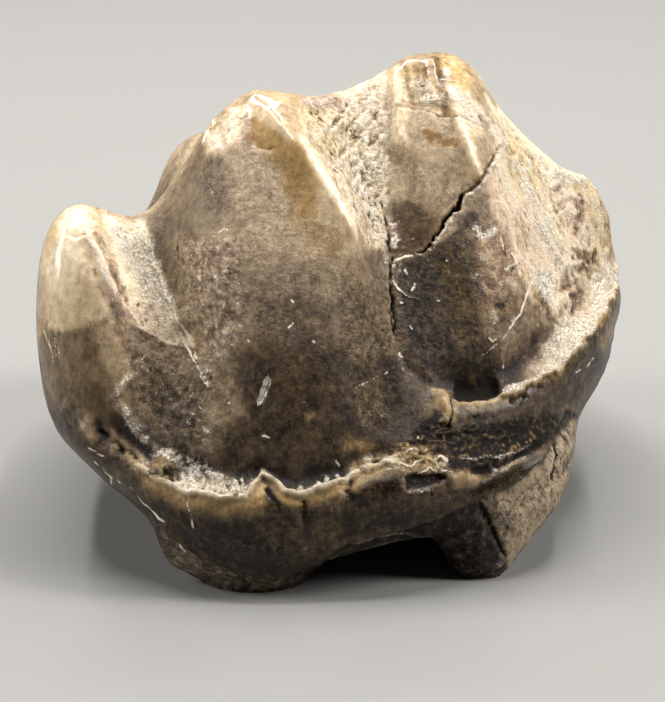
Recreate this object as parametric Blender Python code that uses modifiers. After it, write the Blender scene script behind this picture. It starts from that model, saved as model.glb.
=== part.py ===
"""Fossil upper molar of a lophiodon, standing crown up on its broken root stubs.

It is one grown and mineralised piece, so it is one solid. Sizes below are millimetres and are
turned into metres when a mesh is made. X runs along the tooth row with the front of the row at
-X, -Y is the cheek side, and +Z is up from the surface under the root stubs.

The crown is built the way a molar is described: a base with a rim round it, a wall along the
cheek side, the cusps that rise from it, and the crests that join them. Each is a closed mass. The
masses are fused by a voxel remesh, softened, carved with grooves, thinned and cut flat where the
stubs stand.
"""

import math
from dataclasses import dataclass

import bmesh
import bpy
import numpy as np
from mathutils import Matrix, Vector

MM = 0.001

# Driving dimensions, in millimetres
CROWN_LENGTH = 44.0
CROWN_DEPTH = 42.0
TOOTH_HEIGHT = 34.5
ROOT_CUT_DEPTH = 3.0

# Cusp tips, in millimetres
PARASTYLE_TIP = (-17.9, -10.3, 26.3)
PARACONE_TIP = (-5.0, -5.0, 33.2)
METACONE_TIP = (7.4, 0.8, 34.6)
PROTOCONE_TIP = (-9.2, 12.0, 24.8)
HYPOCONE_TIP = (9.4, 12.8, 23.4)

# Heights where walls and crests end inside the base, in millimetres
WALL_FOOT = 10.0
CREST_FOOT = 8.0

# How a crest spreads to its foot, and how the cheek wall falls away behind its edge
CREST_FLARE = 1.4
WALL_FALL = 0.7

# How finely the masses are drawn and the skin is worked
RING_POINTS = 48
RINGS_BETWEEN = 5
WALL_POINTS = 22
VOXEL = 0.45
CREASE_PASSES = 60
SOFTENING_PASSES = 6
FINISHING_PASSES = 2
SMOOTHING_STEP = 0.5
TRIANGLES = 9400


@dataclass
class Slice:
    """A level cut through a mass: its reach each way, how square it is, and where it is widest.

    lean moves the foremost and hindmost points along the row, and sway moves the widest points
    from front to back, both as a share of half the width.
    """

    height: float
    left: float
    right: float
    front: float
    back: float
    square: float = 2.2
    lean: float = 0.0
    sway: float = 0.0

    def values(self):
        reach = (self.height, self.left, self.right, self.front, self.back)
        return (*reach, self.square, self.lean, self.sway)


def eased(rows, steps):
    """Rows of numbers with `steps` smooth rows added between each two."""
    table = np.array(rows, float)
    slopes = np.gradient(table, axis=0)
    smooth = []
    for low in range(len(table) - 1):
        for step in range(steps + 1):
            t = step / (steps + 1)
            start_weight = 2 * t**3 - 3 * t**2 + 1
            end_weight = 1 - start_weight
            start_slope = t**3 - 2 * t**2 + t
            end_slope = t**3 - t**2
            row = start_weight * table[low] + end_weight * table[low + 1]
            row += start_slope * slopes[low] + end_slope * slopes[low + 1]
            smooth.append(row)
    smooth.append(table[-1])
    return smooth


def level_ring(row):
    """Points round one level cut, a rounded box with its own reach on each side."""
    height, left, right, front, back, square, lean, sway = row
    middle_x = (left + right + lean * (right - left)) / 2
    middle_y = (front + back + sway * (back - front)) / 2
    points = []
    for index in range(RING_POINTS):
        angle = 2 * math.pi * index / RING_POINTS
        side = math.cos(angle)
        face = math.sin(angle)
        reach_x = right - middle_x if side > 0 else middle_x - left
        reach_y = back - middle_y if face > 0 else middle_y - front
        x = middle_x + math.copysign(abs(side) ** (2 / square), side) * reach_x
        y = middle_y + math.copysign(abs(face) ** (2 / square), face) * reach_y
        points.append((x, y, height))
    return points


def skin_rings(name, rings):
    """A closed mesh through rings of points that run anticlockwise seen from the last ring."""
    build = bmesh.new()
    levels = [[build.verts.new(Vector(p) * MM) for p in ring] for ring in rings]
    for lower, upper in zip(levels[:-1], levels[1:], strict=True):
        for here in range(len(lower)):
            after = (here + 1) % len(lower)
            build.faces.new((lower[here], lower[after], upper[after], upper[here]))
    build.faces.new(levels[0][::-1])
    build.faces.new(levels[-1])
    bmesh.ops.recalc_face_normals(build, faces=build.faces)
    mesh = bpy.data.meshes.new(name)
    build.to_mesh(mesh)
    build.free()
    return mesh


def lobe(name, slices):
    """A cusp, root or base: smooth level cuts from the lowest to the highest."""
    rows = eased([s.values() for s in slices], RINGS_BETWEEN)
    return skin_rings(name, [level_ring(row) for row in rows])


def crest_wall(name, route):
    """A crest that joins cusps: route rows are x, y, top height, top radius, foot half width."""
    rows = eased(route, RINGS_BETWEEN)
    path = [Vector(row[:2]) for row in rows]
    rings = []
    for index, row in enumerate(rows):
        before = path[max(index - 1, 0)]
        after = path[min(index + 1, len(path) - 1)]
        along = (after - before).normalized()
        across = Vector((-along.y, along.x))
        rings.append(wall_ring(path[index], across, *row[2:]))
    return skin_rings(name, rings)


def wall_ring(place, across, top, radius, foot):
    """An upright cut through a crest: round at the top and spreading towards its foot."""
    points = []
    shoulder = top - radius
    for index in range(WALL_POINTS + 1):
        angle = math.pi * index / WALL_POINTS
        spot = place + across * math.cos(angle) * radius
        points.append((spot.x, spot.y, shoulder + math.sin(angle) * radius))
    steps = WALL_POINTS // 2
    flanks = [(-1, step) for step in range(1, steps + 1)]
    flanks += [(1, step) for step in range(steps, 0, -1)]
    for side, step in flanks:
        down = step / steps
        half = radius + (foot - radius) * down**CREST_FLARE
        spot = place + across * side * half
        points.append((spot.x, spot.y, shoulder - (shoulder - CREST_FOOT) * down))
    return points


def cheek_ring(row):
    """An upright cut through the cheek wall, from its front foot over the crest to its back."""
    x, crest_y, crest_z, foot_y, back, bulge = row
    points = []
    for step in range(WALL_POINTS, -WALL_POINTS - 1, -1):
        share = (step / WALL_POINTS) ** 2
        z = crest_z - (crest_z - WALL_FOOT) * share
        if step >= 0:
            y = crest_y + (foot_y - crest_y) * share**bulge
        else:
            y = crest_y + back * share**WALL_FALL
        points.append((x, y, z))
    return points


def rim(name, route):
    """A rounded rim along a route whose rows are x, y, z and radius."""
    curve = bpy.data.curves.new(name, "CURVE")
    curve.dimensions = "3D"
    curve.bevel_depth = MM
    curve.bevel_resolution = 3
    curve.use_fill_caps = True
    spline = curve.splines.new("BEZIER")
    spline.bezier_points.add(len(route) - 1)
    spline.resolution_u = 6
    for point, (x, y, z, radius) in zip(spline.bezier_points, route, strict=True):
        point.co = Vector((x, y, z)) * MM
        point.handle_left_type = "AUTO"
        point.handle_right_type = "AUTO"
        point.radius = radius
    guide = bpy.data.objects.new(name, curve)
    bpy.context.scene.collection.objects.link(guide)
    graph = bpy.context.evaluated_depsgraph_get()
    mesh = bpy.data.meshes.new_from_object(guide.evaluated_get(graph))
    bpy.data.objects.remove(guide)
    build = bmesh.new()
    build.from_mesh(mesh)
    bmesh.ops.remove_doubles(build, verts=build.verts, dist=0.01 * MM)
    build.to_mesh(mesh)
    build.free()
    return mesh


def crown_base():
    """The body of the crown from the neck up to the valley floors."""
    return lobe(
        "crown base",
        [
            Slice(5.2, -14.6, 16.4, -18.6, 16.0, 2.2, -0.1, 0.1),
            Slice(6.2, -17.0, 17.8, -20.4, 18.0, 2.2, -0.1, 0.1),
            Slice(8.2, -19.3, 19.2, -21.2, 19.8, 2.2, -0.1, 0.1),
            Slice(10.0, -20.6, 20.2, -19.6, 20.4, 2.2, -0.1, 0.1),
            Slice(12.5, -21.2, 21.4, -17.4, 19.8, 2.3, -0.1, 0.1),
            Slice(15.0, -21.3, 22.0, -15.0, 18.0, 2.4, -0.1, 0.1),
            Slice(16.8, -20.0, 20.5, -12.0, 16.0, 2.4),
        ],
    )


def cheek_wall():
    """The wall of the cheek side: rows are x, crest y and z, foot y, back reach and bulge."""
    rows = [
        (-19.8, -9.8, 23.0, -13.6, 4.0, 0.8),
        (-18.8, -10.2, 25.2, -15.6, 5.0, 0.7),
        (-17.4, -9.8, 26.0, -17.0, 6.0, 0.7),
        (-15.6, -8.8, 25.4, -17.6, 7.0, 0.85),
        (-13.8, -7.8, 24.8, -18.1, 8.0, 0.95),
        (-11.8, -6.6, 26.8, -18.7, 8.0, 0.85),
        (-9.2, -5.5, 30.6, -19.2, 8.0, 0.7),
        (-6.8, -4.9, 32.6, -19.5, 8.0, 0.6),
        (-4.0, -4.2, 33.0, -19.5, 8.0, 0.57),
        (-1.0, -3.0, 32.4, -19.2, 8.0, 0.62),
        (1.4, -1.4, 32.8, -18.6, 8.0, 0.74),
        (3.4, -0.4, 33.4, -17.9, 8.0, 0.8),
        (5.4, 0.3, 34.5, -17.4, 8.0, 0.72),
        (7.4, 0.9, 34.4, -17.0, 8.0, 0.64),
        (10.0, 1.3, 33.6, -16.2, 8.0, 0.6),
        (12.5, 1.7, 30.2, -14.8, 7.5, 0.6),
        (15.0, 2.1, 27.4, -12.2, 7.0, 0.64),
        (17.6, 2.6, 25.2, -8.0, 6.0, 0.7),
        (19.8, 3.0, 24.0, -2.6, 5.0, 0.8),
        (21.2, 3.3, 21.6, 1.0, 3.6, 0.9),
        (22.0, 3.5, 17.4, 2.6, 2.4, 0.9),
    ]
    return skin_rings("cheek wall", [cheek_ring(row) for row in eased(rows, RINGS_BETWEEN)])


def parastyle():
    """The low smooth lobe at the front corner of the cheek side."""
    tip_x, tip_y, tip_z = PARASTYLE_TIP
    return lobe(
        "parastyle",
        [
            Slice(6.0, -16.8, -9.0, -16.8, -4.0, 2.2, 0.3),
            Slice(9.5, -20.2, -10.0, -17.4, -1.0, 2.2, 0.4),
            Slice(13.0, -21.3, -11.2, -17.0, 0.0, 2.2, 0.4),
            Slice(17.0, -21.5, -12.6, -16.0, -1.0, 2.2, 0.4),
            Slice(21.0, -21.2, -14.2, -14.8, -3.0, 2.2, 0.35),
            Slice(24.0, -20.4, -15.6, -13.4, -6.0, 2.2, 0.2),
            Slice(25.6, -19.4, -16.5, -12.0, -8.4),
            Slice(tip_z, tip_x - 0.6, tip_x + 0.6, tip_y - 0.6, tip_y + 0.6),
        ],
    )


def paracone():
    """The broad convex cusp in the middle of the cheek side."""
    tip_x, tip_y, tip_z = PARACONE_TIP
    return lobe(
        "paracone",
        [
            Slice(6.0, -12.0, 5.0, -19.8, 0.0, 2.4, 0.1),
            Slice(10.0, -12.0, 5.0, -19.4, 0.0, 2.4, 0.2),
            Slice(14.0, -12.0, 4.6, -18.8, 0.0, 2.4, 0.25),
            Slice(18.0, -12.2, 4.0, -17.5, 0.0, 2.4, 0.3),
            Slice(22.0, -12.2, 3.4, -15.7, 0.0, 2.4, 0.3),
            Slice(25.5, -11.4, 2.4, -13.6, 0.0, 2.4, 0.25),
            Slice(28.6, -10.0, 1.2, -11.3, -0.5, 2.4, 0.15),
            Slice(31.2, -8.2, -0.4, -8.9, -2.0, 2.3),
            Slice(tip_z, tip_x - 1.2, tip_x + 1.0, tip_y - 0.8, tip_y + 0.8),
        ],
    )


def metacone():
    """The highest cusp, set back from the cheek side behind the paracone."""
    tip_x, tip_y, tip_z = METACONE_TIP
    return lobe(
        "metacone",
        [
            Slice(6.0, 4.5, 18.0, -15.6, 8.0),
            Slice(10.0, 4.5, 18.0, -14.8, 8.0),
            Slice(14.0, 4.4, 16.6, -13.8, 8.0),
            Slice(18.0, 4.2, 15.4, -12.6, 7.5, 2.3),
            Slice(22.0, 4.0, 14.4, -11.0, 7.0, 2.4),
            Slice(26.0, 4.0, 13.2, -8.8, 6.0, 2.5),
            Slice(29.5, 4.0, 12.3, -6.6, 5.0, 2.7),
            Slice(32.0, 4.1, 11.4, -4.2, 3.6, 2.7),
            Slice(33.6, 4.8, 10.3, -2.2, 2.4, 2.6),
            Slice(tip_z, tip_x - 1.2, tip_x + 1.2, tip_y - 0.7, tip_y + 0.6),
        ],
    )


def protocone():
    """The front cusp of the tongue side."""
    tip_x, tip_y, tip_z = PROTOCONE_TIP
    return lobe(
        "protocone",
        [
            Slice(6.0, -15.5, -0.5, 3.0, 18.6),
            Slice(10.0, -17.8, 0.0, 3.0, 20.0),
            Slice(14.0, -17.2, -0.6, 3.6, 19.6),
            Slice(18.0, -15.2, -2.4, 5.4, 18.2),
            Slice(21.6, -13.0, -4.8, 8.0, 16.0),
            Slice(23.6, -11.6, -6.8, 10.0, 14.2),
            Slice(tip_z, tip_x - 0.7, tip_x + 0.7, tip_y - 0.7, tip_y + 0.7),
        ],
    )


def hypocone():
    """The back cusp of the tongue side."""
    tip_x, tip_y, tip_z = HYPOCONE_TIP
    return lobe(
        "hypocone",
        [
            Slice(6.0, 1.4, 16.0, 4.0, 18.6),
            Slice(10.0, 1.2, 18.0, 4.0, 20.0),
            Slice(14.0, 2.0, 17.4, 4.6, 19.6),
            Slice(17.5, 3.6, 15.8, 6.5, 18.2),
            Slice(20.6, 5.6, 13.6, 8.8, 16.4),
            Slice(22.4, 7.6, 11.4, 11.0, 14.6),
            Slice(tip_z, tip_x - 0.6, tip_x + 0.6, tip_y - 0.6, tip_y + 0.6),
        ],
    )


def front_crest():
    """The protoloph: from the parastyle and paracone across to the protocone."""
    return crest_wall(
        "front crest",
        [
            (-14.2, -7.5, 23.4, 2.0, 6.0),
            (-13.4, -3.0, 22.6, 2.3, 6.5),
            (-12.4, 2.0, 22.2, 2.4, 7.0),
            (-10.9, 7.0, 22.6, 2.4, 7.0),
            (-9.4, 12.0, 23.8, 2.2, 6.0),
        ],
    )


def back_crest():
    """The metaloph: from the metacone across to the hypocone."""
    return crest_wall(
        "back crest",
        [
            (6.8, 0.6, 29.5, 2.2, 6.0),
            (5.8, 4.2, 25.0, 2.3, 6.5),
            (6.4, 8.2, 22.2, 2.4, 7.0),
            (8.8, 12.6, 22.4, 2.2, 6.0),
        ],
    )


def cheek_rim():
    """The cingulum of the cheek side under the parastyle and paracone, a ledge with an edge."""
    return rim(
        "cheek rim",
        [
            (-20.6, -9.0, 12.4, 0.9),
            (-19.4, -10.8, 10.0, 1.2),
            (-16.9, -14.0, 9.0, 1.3),
            (-13.2, -17.6, 8.6, 1.4),
            (-9.2, -19.4, 7.6, 1.4),
            (-5.0, -20.0, 7.6, 1.4),
            (-1.0, -19.6, 7.9, 1.4),
            (3.0, -18.6, 8.9, 1.4),
            (7.4, -17.0, 8.9, 1.4),
            (10.8, -15.4, 7.8, 1.4),
            (14.0, -12.2, 7.6, 1.4),
            (17.2, -6.8, 7.4, 1.2),
        ],
    )


def back_cheek_rim():
    """The cingulum under the metacone, which stands higher and climbs to the back corner."""
    return rim(
        "back cheek rim",
        [
            (6.6, -16.0, 13.0, 0.8),
            (9.6, -15.0, 11.8, 1.4),
            (12.4, -13.4, 12.0, 1.5),
            (15.4, -10.4, 12.8, 1.5),
            (18.2, -6.2, 13.8, 1.4),
            (20.4, -1.6, 14.8, 1.3),
            (21.4, 2.4, 15.2, 1.2),
        ],
    )


def back_cheek_band():
    """The wall between the two steps of the cheek rim."""
    return rim(
        "back cheek band",
        [
            (6.0, -14.2, 9.6, 2.6),
            (10.0, -12.8, 9.8, 2.9),
            (13.6, -10.0, 10.2, 2.9),
            (16.6, -5.8, 10.8, 2.9),
            (18.8, -0.5, 11.4, 2.6),
            (19.4, 4.0, 11.4, 2.2),
        ],
    )


def front_rim():
    """The ledge across the front end of the crown."""
    return rim(
        "front rim",
        [
            (-20.6, -7.0, 13.0, 1.0),
            (-20.6, -2.0, 12.0, 1.2),
            (-20.0, 4.0, 11.4, 1.3),
            (-18.4, 10.0, 11.0, 1.3),
            (-15.6, 14.6, 10.4, 1.3),
            (-11.8, 17.8, 9.6, 1.2),
        ],
    )


def back_rim():
    """The ledge across the back end of the crown."""
    return rim(
        "back rim",
        [
            (21.0, 3.0, 14.2, 1.1),
            (20.2, 7.0, 12.6, 1.3),
            (18.8, 12.0, 11.6, 1.4),
            (15.8, 16.2, 10.6, 1.3),
            (11.4, 18.6, 9.8, 1.2),
        ],
    )


def tongue_rim():
    """The low ledge that closes the valley between the two tongue side cusps."""
    return rim(
        "tongue rim",
        [
            (-6.0, 18.6, 9.2, 1.2),
            (-2.0, 18.4, 10.0, 1.4),
            (1.5, 18.4, 10.0, 1.4),
            (5.0, 18.8, 9.2, 1.2),
        ],
    )


def neck_band():
    """The swollen lower edge of the enamel over the arch between the cheek side roots."""
    return rim(
        "neck band",
        [
            (-15.6, -11.0, 7.0, 1.9),
            (-12.6, -15.0, 6.2, 2.0),
            (-8.0, -18.4, 5.4, 2.5),
            (-3.0, -18.8, 4.6, 2.5),
            (1.2, -18.2, 5.0, 2.3),
            (4.5, -17.6, 5.4, 2.0),
            (8.5, -16.2, 5.4, 2.0),
            (12.0, -14.0, 5.6, 1.9),
        ],
    )


def front_root():
    """The stub of the front root of the cheek side, broken on a slant."""
    return lobe(
        "front root",
        [
            Slice(-ROOT_CUT_DEPTH, -7.6, -2.6, -17.5, -6.5, 2.4),
            Slice(0.0, -9.8, -1.2, -19.4, -6.0, 2.4),
            Slice(1.6, -11.6, 0.2, -20.1, -5.5, 2.4),
            Slice(3.4, -12.9, 1.8, -20.6, -4.0, 2.4),
            Slice(6.0, -15.0, 4.0, -21.2, -2.0, 2.4),
            Slice(8.0, -15.0, 6.0, -21.2, -2.0, 2.4),
        ],
    )


def back_root():
    """The stub of the back root of the cheek side, split and worn to a wedge."""
    return lobe(
        "back root",
        [
            Slice(-ROOT_CUT_DEPTH, 8.8, 11.0, -16.0, -7.0, 2.4),
            Slice(0.0, 8.3, 13.0, -17.4, -6.0, 2.4),
            Slice(2.5, 6.8, 15.4, -17.6, -4.0, 2.4, -0.3),
            Slice(5.0, 5.0, 17.4, -17.8, -1.0, 2.4, -0.4),
            Slice(9.0, 4.0, 18.2, -17.6, 2.0, 2.2, -0.4),
        ],
    )


def tongue_root():
    """The broad stub of the root of the tongue side."""
    return lobe(
        "tongue root",
        [
            Slice(-ROOT_CUT_DEPTH, -7.0, 8.5, 7.5, 14.0, 2.5),
            Slice(0.0, -8.0, 9.5, 6.6, 15.0, 2.5),
            Slice(2.5, -9.5, 11.0, 5.4, 16.0, 2.5),
            Slice(5.0, -11.5, 13.0, 3.0, 17.2, 2.5),
            Slice(9.0, -13.0, 14.0, 0.0, 18.0, 2.5),
        ],
    )


MASSES = (
    crown_base,
    cheek_wall,
    parastyle,
    paracone,
    metacone,
    protocone,
    hypocone,
    front_crest,
    back_crest,
    cheek_rim,
    back_cheek_rim,
    back_cheek_band,
    front_rim,
    back_rim,
    tongue_rim,
    neck_band,
    front_root,
    back_root,
    tongue_root,
)


# Grooves, each a route, a radius and a depth
GROOVES = (
    # Between the paracone and the metacone
    (((0.9, -2.7, 31.5), (2.2, -5.0, 28.5), (3.6, -8.6, 23.4), (4.6, -13.0, 17.0)), 1.6, 0.6),
    # Between the parastyle and the paracone
    (((-13.3, -7.9, 24.0), (-12.4, -10.7, 21.4), (-11.4, -12.8, 19.9), (-9.4, -16.0, 16.6)), 1.6, 0.6),
    # Trough between the cheek wall and the edge of its rim
    (((-16.6, -15.6, 12.6), (-12.9, -17.9, 10.6), (-8.9, -20.0, 9.6), (-4.9, -20.2, 9.8)), 1.4, 0.8),
    (((-6.9, -20.2, 9.8), (-2.9, -20.4, 9.6), (0.6, -20.0, 10.0), (4.3, -18.6, 11.2)), 1.3, 0.7),
    # Trough above the back part of the rim, deepest under the metacone
    (((7.4, -15.2, 14.2), (10.5, -14.5, 14.2), (12.7, -13.1, 14.6), (16.0, -9.6, 15.9)), 1.8, 1.2),
    (((13.0, -12.8, 14.8), (17.4, -7.8, 16.4), (19.4, -3.8, 17.2), (20.8, -0.6, 18.0)), 1.6, 0.8),
)


def clear_scene():
    for thing in list(bpy.data.objects):
        bpy.data.objects.remove(thing)


def fused(meshes):
    """All the masses as one skin: joined and voxel remeshed."""
    build = bmesh.new()
    for mesh in meshes:
        build.from_mesh(mesh)
        bpy.data.meshes.remove(mesh)
    raw = bpy.data.meshes.new("masses")
    build.to_mesh(raw)
    build.free()
    holder = bpy.data.objects.new("masses", raw)
    bpy.context.scene.collection.objects.link(holder)
    remesh = holder.modifiers.new("fuse", "REMESH")
    remesh.mode = "VOXEL"
    remesh.voxel_size = VOXEL * MM
    graph = bpy.context.evaluated_depsgraph_get()
    skin = bpy.data.meshes.new_from_object(holder.evaluated_get(graph))
    bpy.data.objects.remove(holder)
    return skin


class Skin:
    """The fused surface as arrays of numbers in millimetres, so that it can be worked like clay."""

    def __init__(self, mesh):
        self.mesh = mesh
        self.places = np.empty(len(mesh.vertices) * 3)
        mesh.vertices.foreach_get("co", self.places)
        self.places = self.places.reshape(-1, 3) / MM
        self.edges = np.empty(len(mesh.edges) * 2, int)
        mesh.edges.foreach_get("vertices", self.edges)
        self.edges = self.edges.reshape(-1, 2)
        corners = np.empty(len(mesh.polygons) * 4, int)
        mesh.polygons.foreach_get("vertices", corners)
        self.quads = corners.reshape(-1, 4)
        self.size = len(mesh.vertices)

    def gathered(self, owners, vectors):
        """The sum of the vectors that belong to each point."""
        sums = [np.bincount(owners, vectors[:, axis], self.size) for axis in range(3)]
        return np.stack(sums, axis=1)

    def normals(self):
        a, b, c, d = (self.places[self.quads[:, corner]] for corner in range(4))
        faces = np.cross(c - a, d - b)
        total = sum(self.gathered(self.quads[:, corner], faces) for corner in range(4))
        return total / np.linalg.norm(total, axis=1, keepdims=True)

    def pull(self):
        """From each point to the middle of its neighbours."""
        ends = np.concatenate((self.edges[:, 0], self.edges[:, 1]))
        others = np.concatenate((self.edges[:, 1], self.edges[:, 0]))
        share = np.bincount(ends, minlength=self.size)[:, None]
        return self.gathered(ends, self.places[others]) / share - self.places

    def fill_creases(self, passes):
        """Raises the sharp valleys where masses meet, and leaves crests as they are."""
        for _ in range(passes):
            normals = self.normals()
            lift = (self.pull() * normals).sum(axis=1)
            self.places += normals * (SMOOTHING_STEP * np.clip(lift, 0, None))[:, None]

    def soften(self, passes):
        for _ in range(passes):
            self.places += SMOOTHING_STEP * self.pull()

    def groove(self, route, radius, depth):
        """Carves a groove along a route of points, which runs out at both ends."""
        nearest = np.full(self.size, np.inf)
        progress = np.zeros(self.size)
        corners = np.array(route, float)
        for index, (start, end) in enumerate(zip(corners[:-1], corners[1:], strict=True)):
            along = end - start
            share = ((self.places - start) @ along / (along @ along)).clip(0, 1)
            gap = np.linalg.norm(self.places - start - share[:, None] * along, axis=1)
            closer = gap < nearest
            nearest[closer] = gap[closer]
            progress[closer] = (index + share[closer]) / (len(corners) - 1)
        fade = np.clip(1 - (nearest / radius) ** 2, 0, None) ** 2
        ends = np.sqrt(np.sin(math.pi * progress))
        self.places -= self.normals() * (depth * fade * ends)[:, None]

    def fit(self, length, depth, height):
        """Stands the tooth centred on the origin at its real size; z = 0 is already its sole."""
        low = self.places.min(axis=0)
        high = self.places.max(axis=0)
        self.places[:, :2] -= (low[:2] + high[:2]) / 2
        self.places *= (length / (high[0] - low[0]), depth / (high[1] - low[1]), height / high[2])

    def put_back(self):
        self.mesh.vertices.foreach_set("co", (self.places * MM).ravel())
        self.mesh.update()


def carve(mesh):
    """Melts the masses into each other, carves the grooves and brings the tooth to its size."""
    skin = Skin(mesh)
    skin.fill_creases(CREASE_PASSES)
    skin.soften(SOFTENING_PASSES)
    for route, radius, depth in GROOVES:
        skin.groove(route, radius, depth)
    skin.soften(FINISHING_PASSES)
    skin.fit(CROWN_LENGTH, CROWN_DEPTH, TOOTH_HEIGHT)
    skin.put_back()


def fossil_material():
    material = bpy.data.materials.new("fossil enamel")
    material.use_nodes = True
    shader = material.node_tree.nodes["Principled BSDF"]
    shader.inputs["Base Color"].default_value = (0.19, 0.15, 0.10, 1.0)
    shader.inputs["Roughness"].default_value = 0.38
    shader.inputs["Metallic"].default_value = 0.0
    return material


def surface_block(collection):
    """A block whose top is the surface that the stubs stand on."""
    bpy.ops.mesh.primitive_cube_add(size=1.0)
    block = bpy.context.object
    block.name = "surface cutter"
    reach = 2 * CROWN_LENGTH * MM
    depth = 2 * ROOT_CUT_DEPTH * MM
    block.data.transform(Matrix.Diagonal((reach, reach, depth, 1.0)))
    block.data.transform(Matrix.Translation((0.0, 0.0, -depth / 2)))
    for owner in list(block.users_collection):
        owner.objects.unlink(block)
    collection.objects.link(block)
    block.hide_render = True
    block.display_type = "WIRE"
    return block


def build_molar():
    parts = bpy.data.collections.new("fossil lophiodon molar")
    cutters = bpy.data.collections.new("cutters")
    for collection in (parts, cutters):
        bpy.context.scene.collection.children.link(collection)
    skin = fused([mass() for mass in MASSES])
    carve(skin)
    molar = bpy.data.objects.new("molar", skin)
    parts.objects.link(molar)
    skin.materials.clear()
    skin.materials.append(fossil_material())
    thin = molar.modifiers.new("thin", "DECIMATE")
    faces = sum(len(face.vertices) - 2 for face in skin.polygons)
    thin.ratio = TRIANGLES / faces
    cut = molar.modifiers.new("stand", "BOOLEAN")
    cut.operation = "DIFFERENCE"
    cut.object = surface_block(cutters)
    skin.shade_smooth()
    return molar


def main():
    clear_scene()
    build_molar()


if __name__ == "__main__":
    main()
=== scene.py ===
"""Fossil upper molar of a lophiodon, crown up on its broken root stubs, seen from its cheek side.

The tooth is one grown and mineralised piece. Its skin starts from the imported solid, is drawn finer,
and is then worked like clay and painted, one part of the tooth after another. Lengths are
millimetres. Places on the cheek side are pixels of the photograph, and places on the sides that it
does not show are pixels of the same view with the tooth turned.
"""

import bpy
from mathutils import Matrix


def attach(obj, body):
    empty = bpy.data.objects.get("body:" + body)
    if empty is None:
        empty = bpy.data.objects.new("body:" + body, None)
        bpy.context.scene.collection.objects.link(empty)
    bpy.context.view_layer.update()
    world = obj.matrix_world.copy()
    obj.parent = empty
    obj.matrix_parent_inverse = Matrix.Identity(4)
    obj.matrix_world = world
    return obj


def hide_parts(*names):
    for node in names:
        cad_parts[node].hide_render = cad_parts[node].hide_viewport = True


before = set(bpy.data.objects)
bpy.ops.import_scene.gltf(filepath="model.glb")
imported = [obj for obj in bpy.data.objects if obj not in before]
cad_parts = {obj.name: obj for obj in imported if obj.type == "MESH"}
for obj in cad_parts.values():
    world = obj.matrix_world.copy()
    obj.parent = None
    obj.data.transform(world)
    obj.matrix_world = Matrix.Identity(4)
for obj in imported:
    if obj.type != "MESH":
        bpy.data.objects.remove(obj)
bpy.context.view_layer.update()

import math

import bmesh
import bpy
import numpy as np
from mathutils import Vector
from mathutils.bvhtree import BVHTree

# The view. The photograph was taken from the cheek side, a little above the tooth, with the
# cusps up. The same eye places every mark on the cheek side by its pixel.
PICTURE = (665, 702)
EYE_REACH = 200.0
EYE_RISE = math.radians(21.0)
FOCAL_PIXELS = 2600.0
SENSOR = 36.0
AIM = np.array((-0.28, 0.4, 11.1))

eye_forward = np.array((0.0, math.cos(EYE_RISE), -math.sin(EYE_RISE)))
eye_up = np.array((0.0, math.sin(EYE_RISE), math.cos(EYE_RISE)))
eye_place = AIM - EYE_REACH * eye_forward

lens = bpy.data.cameras.new("photograph view")
lens.sensor_width = SENSOR
lens.lens = FOCAL_PIXELS * SENSOR / max(PICTURE)
eye = bpy.data.objects.new("photograph view", lens)
eye.location = eye_place / 1000
eye.rotation_euler = (math.pi / 2 - EYE_RISE, 0.0, 0.0)
bpy.context.scene.collection.objects.link(eye)
bpy.context.scene.camera = eye


def pixels_of(places):
    """Where places in millimetres appear in the photograph."""
    from_eye = places - eye_place
    depth = from_eye @ eye_forward
    right = FOCAL_PIXELS * from_eye[:, 0] / depth
    up = FOCAL_PIXELS * (from_eye @ eye_up) / depth
    return np.stack((PICTURE[0] / 2 + right, PICTURE[1] / 2 - up), axis=1)


# The skin of the tooth. Enamel, chalk and root are one mineral skin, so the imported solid's
# triangles are merged, drawn finer and evened, and finer still on the side that was photographed.
SKIN_GRAIN = 0.55
SAME_POINT = 1e-6
EVENING_PASSES = 14
LATER_PASSES = 3
OFF_SKIN = 0.15
WELL_FACED = 0.25
BARELY_SHOWN = 0.02


def fine_skin():
    """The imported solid, remeshed into small even triangles."""
    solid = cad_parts["molar"].data.copy()
    build = bmesh.new()
    build.from_mesh(solid)
    bmesh.ops.remove_doubles(build, verts=build.verts, dist=SAME_POINT)
    build.to_mesh(solid)
    build.free()
    holder = bpy.data.objects.new("skin", solid)
    bpy.context.scene.collection.objects.link(holder)
    remesh = holder.modifiers.new("finer", "REMESH")
    remesh.mode = "VOXEL"
    remesh.voxel_size = SKIN_GRAIN / 1000
    holder.modifiers.new("triangles", "TRIANGULATE")
    graph = bpy.context.evaluated_depsgraph_get()
    mesh = bpy.data.meshes.new_from_object(holder.evaluated_get(graph))
    bpy.data.objects.remove(holder)
    return mesh


def smooth_step(value, low, high):
    """0 below low and 1 above high, with a soft start and end between them."""
    share = np.clip((value - low) / (high - low), 0, 1)
    return share * share * (3 - 2 * share)


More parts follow.
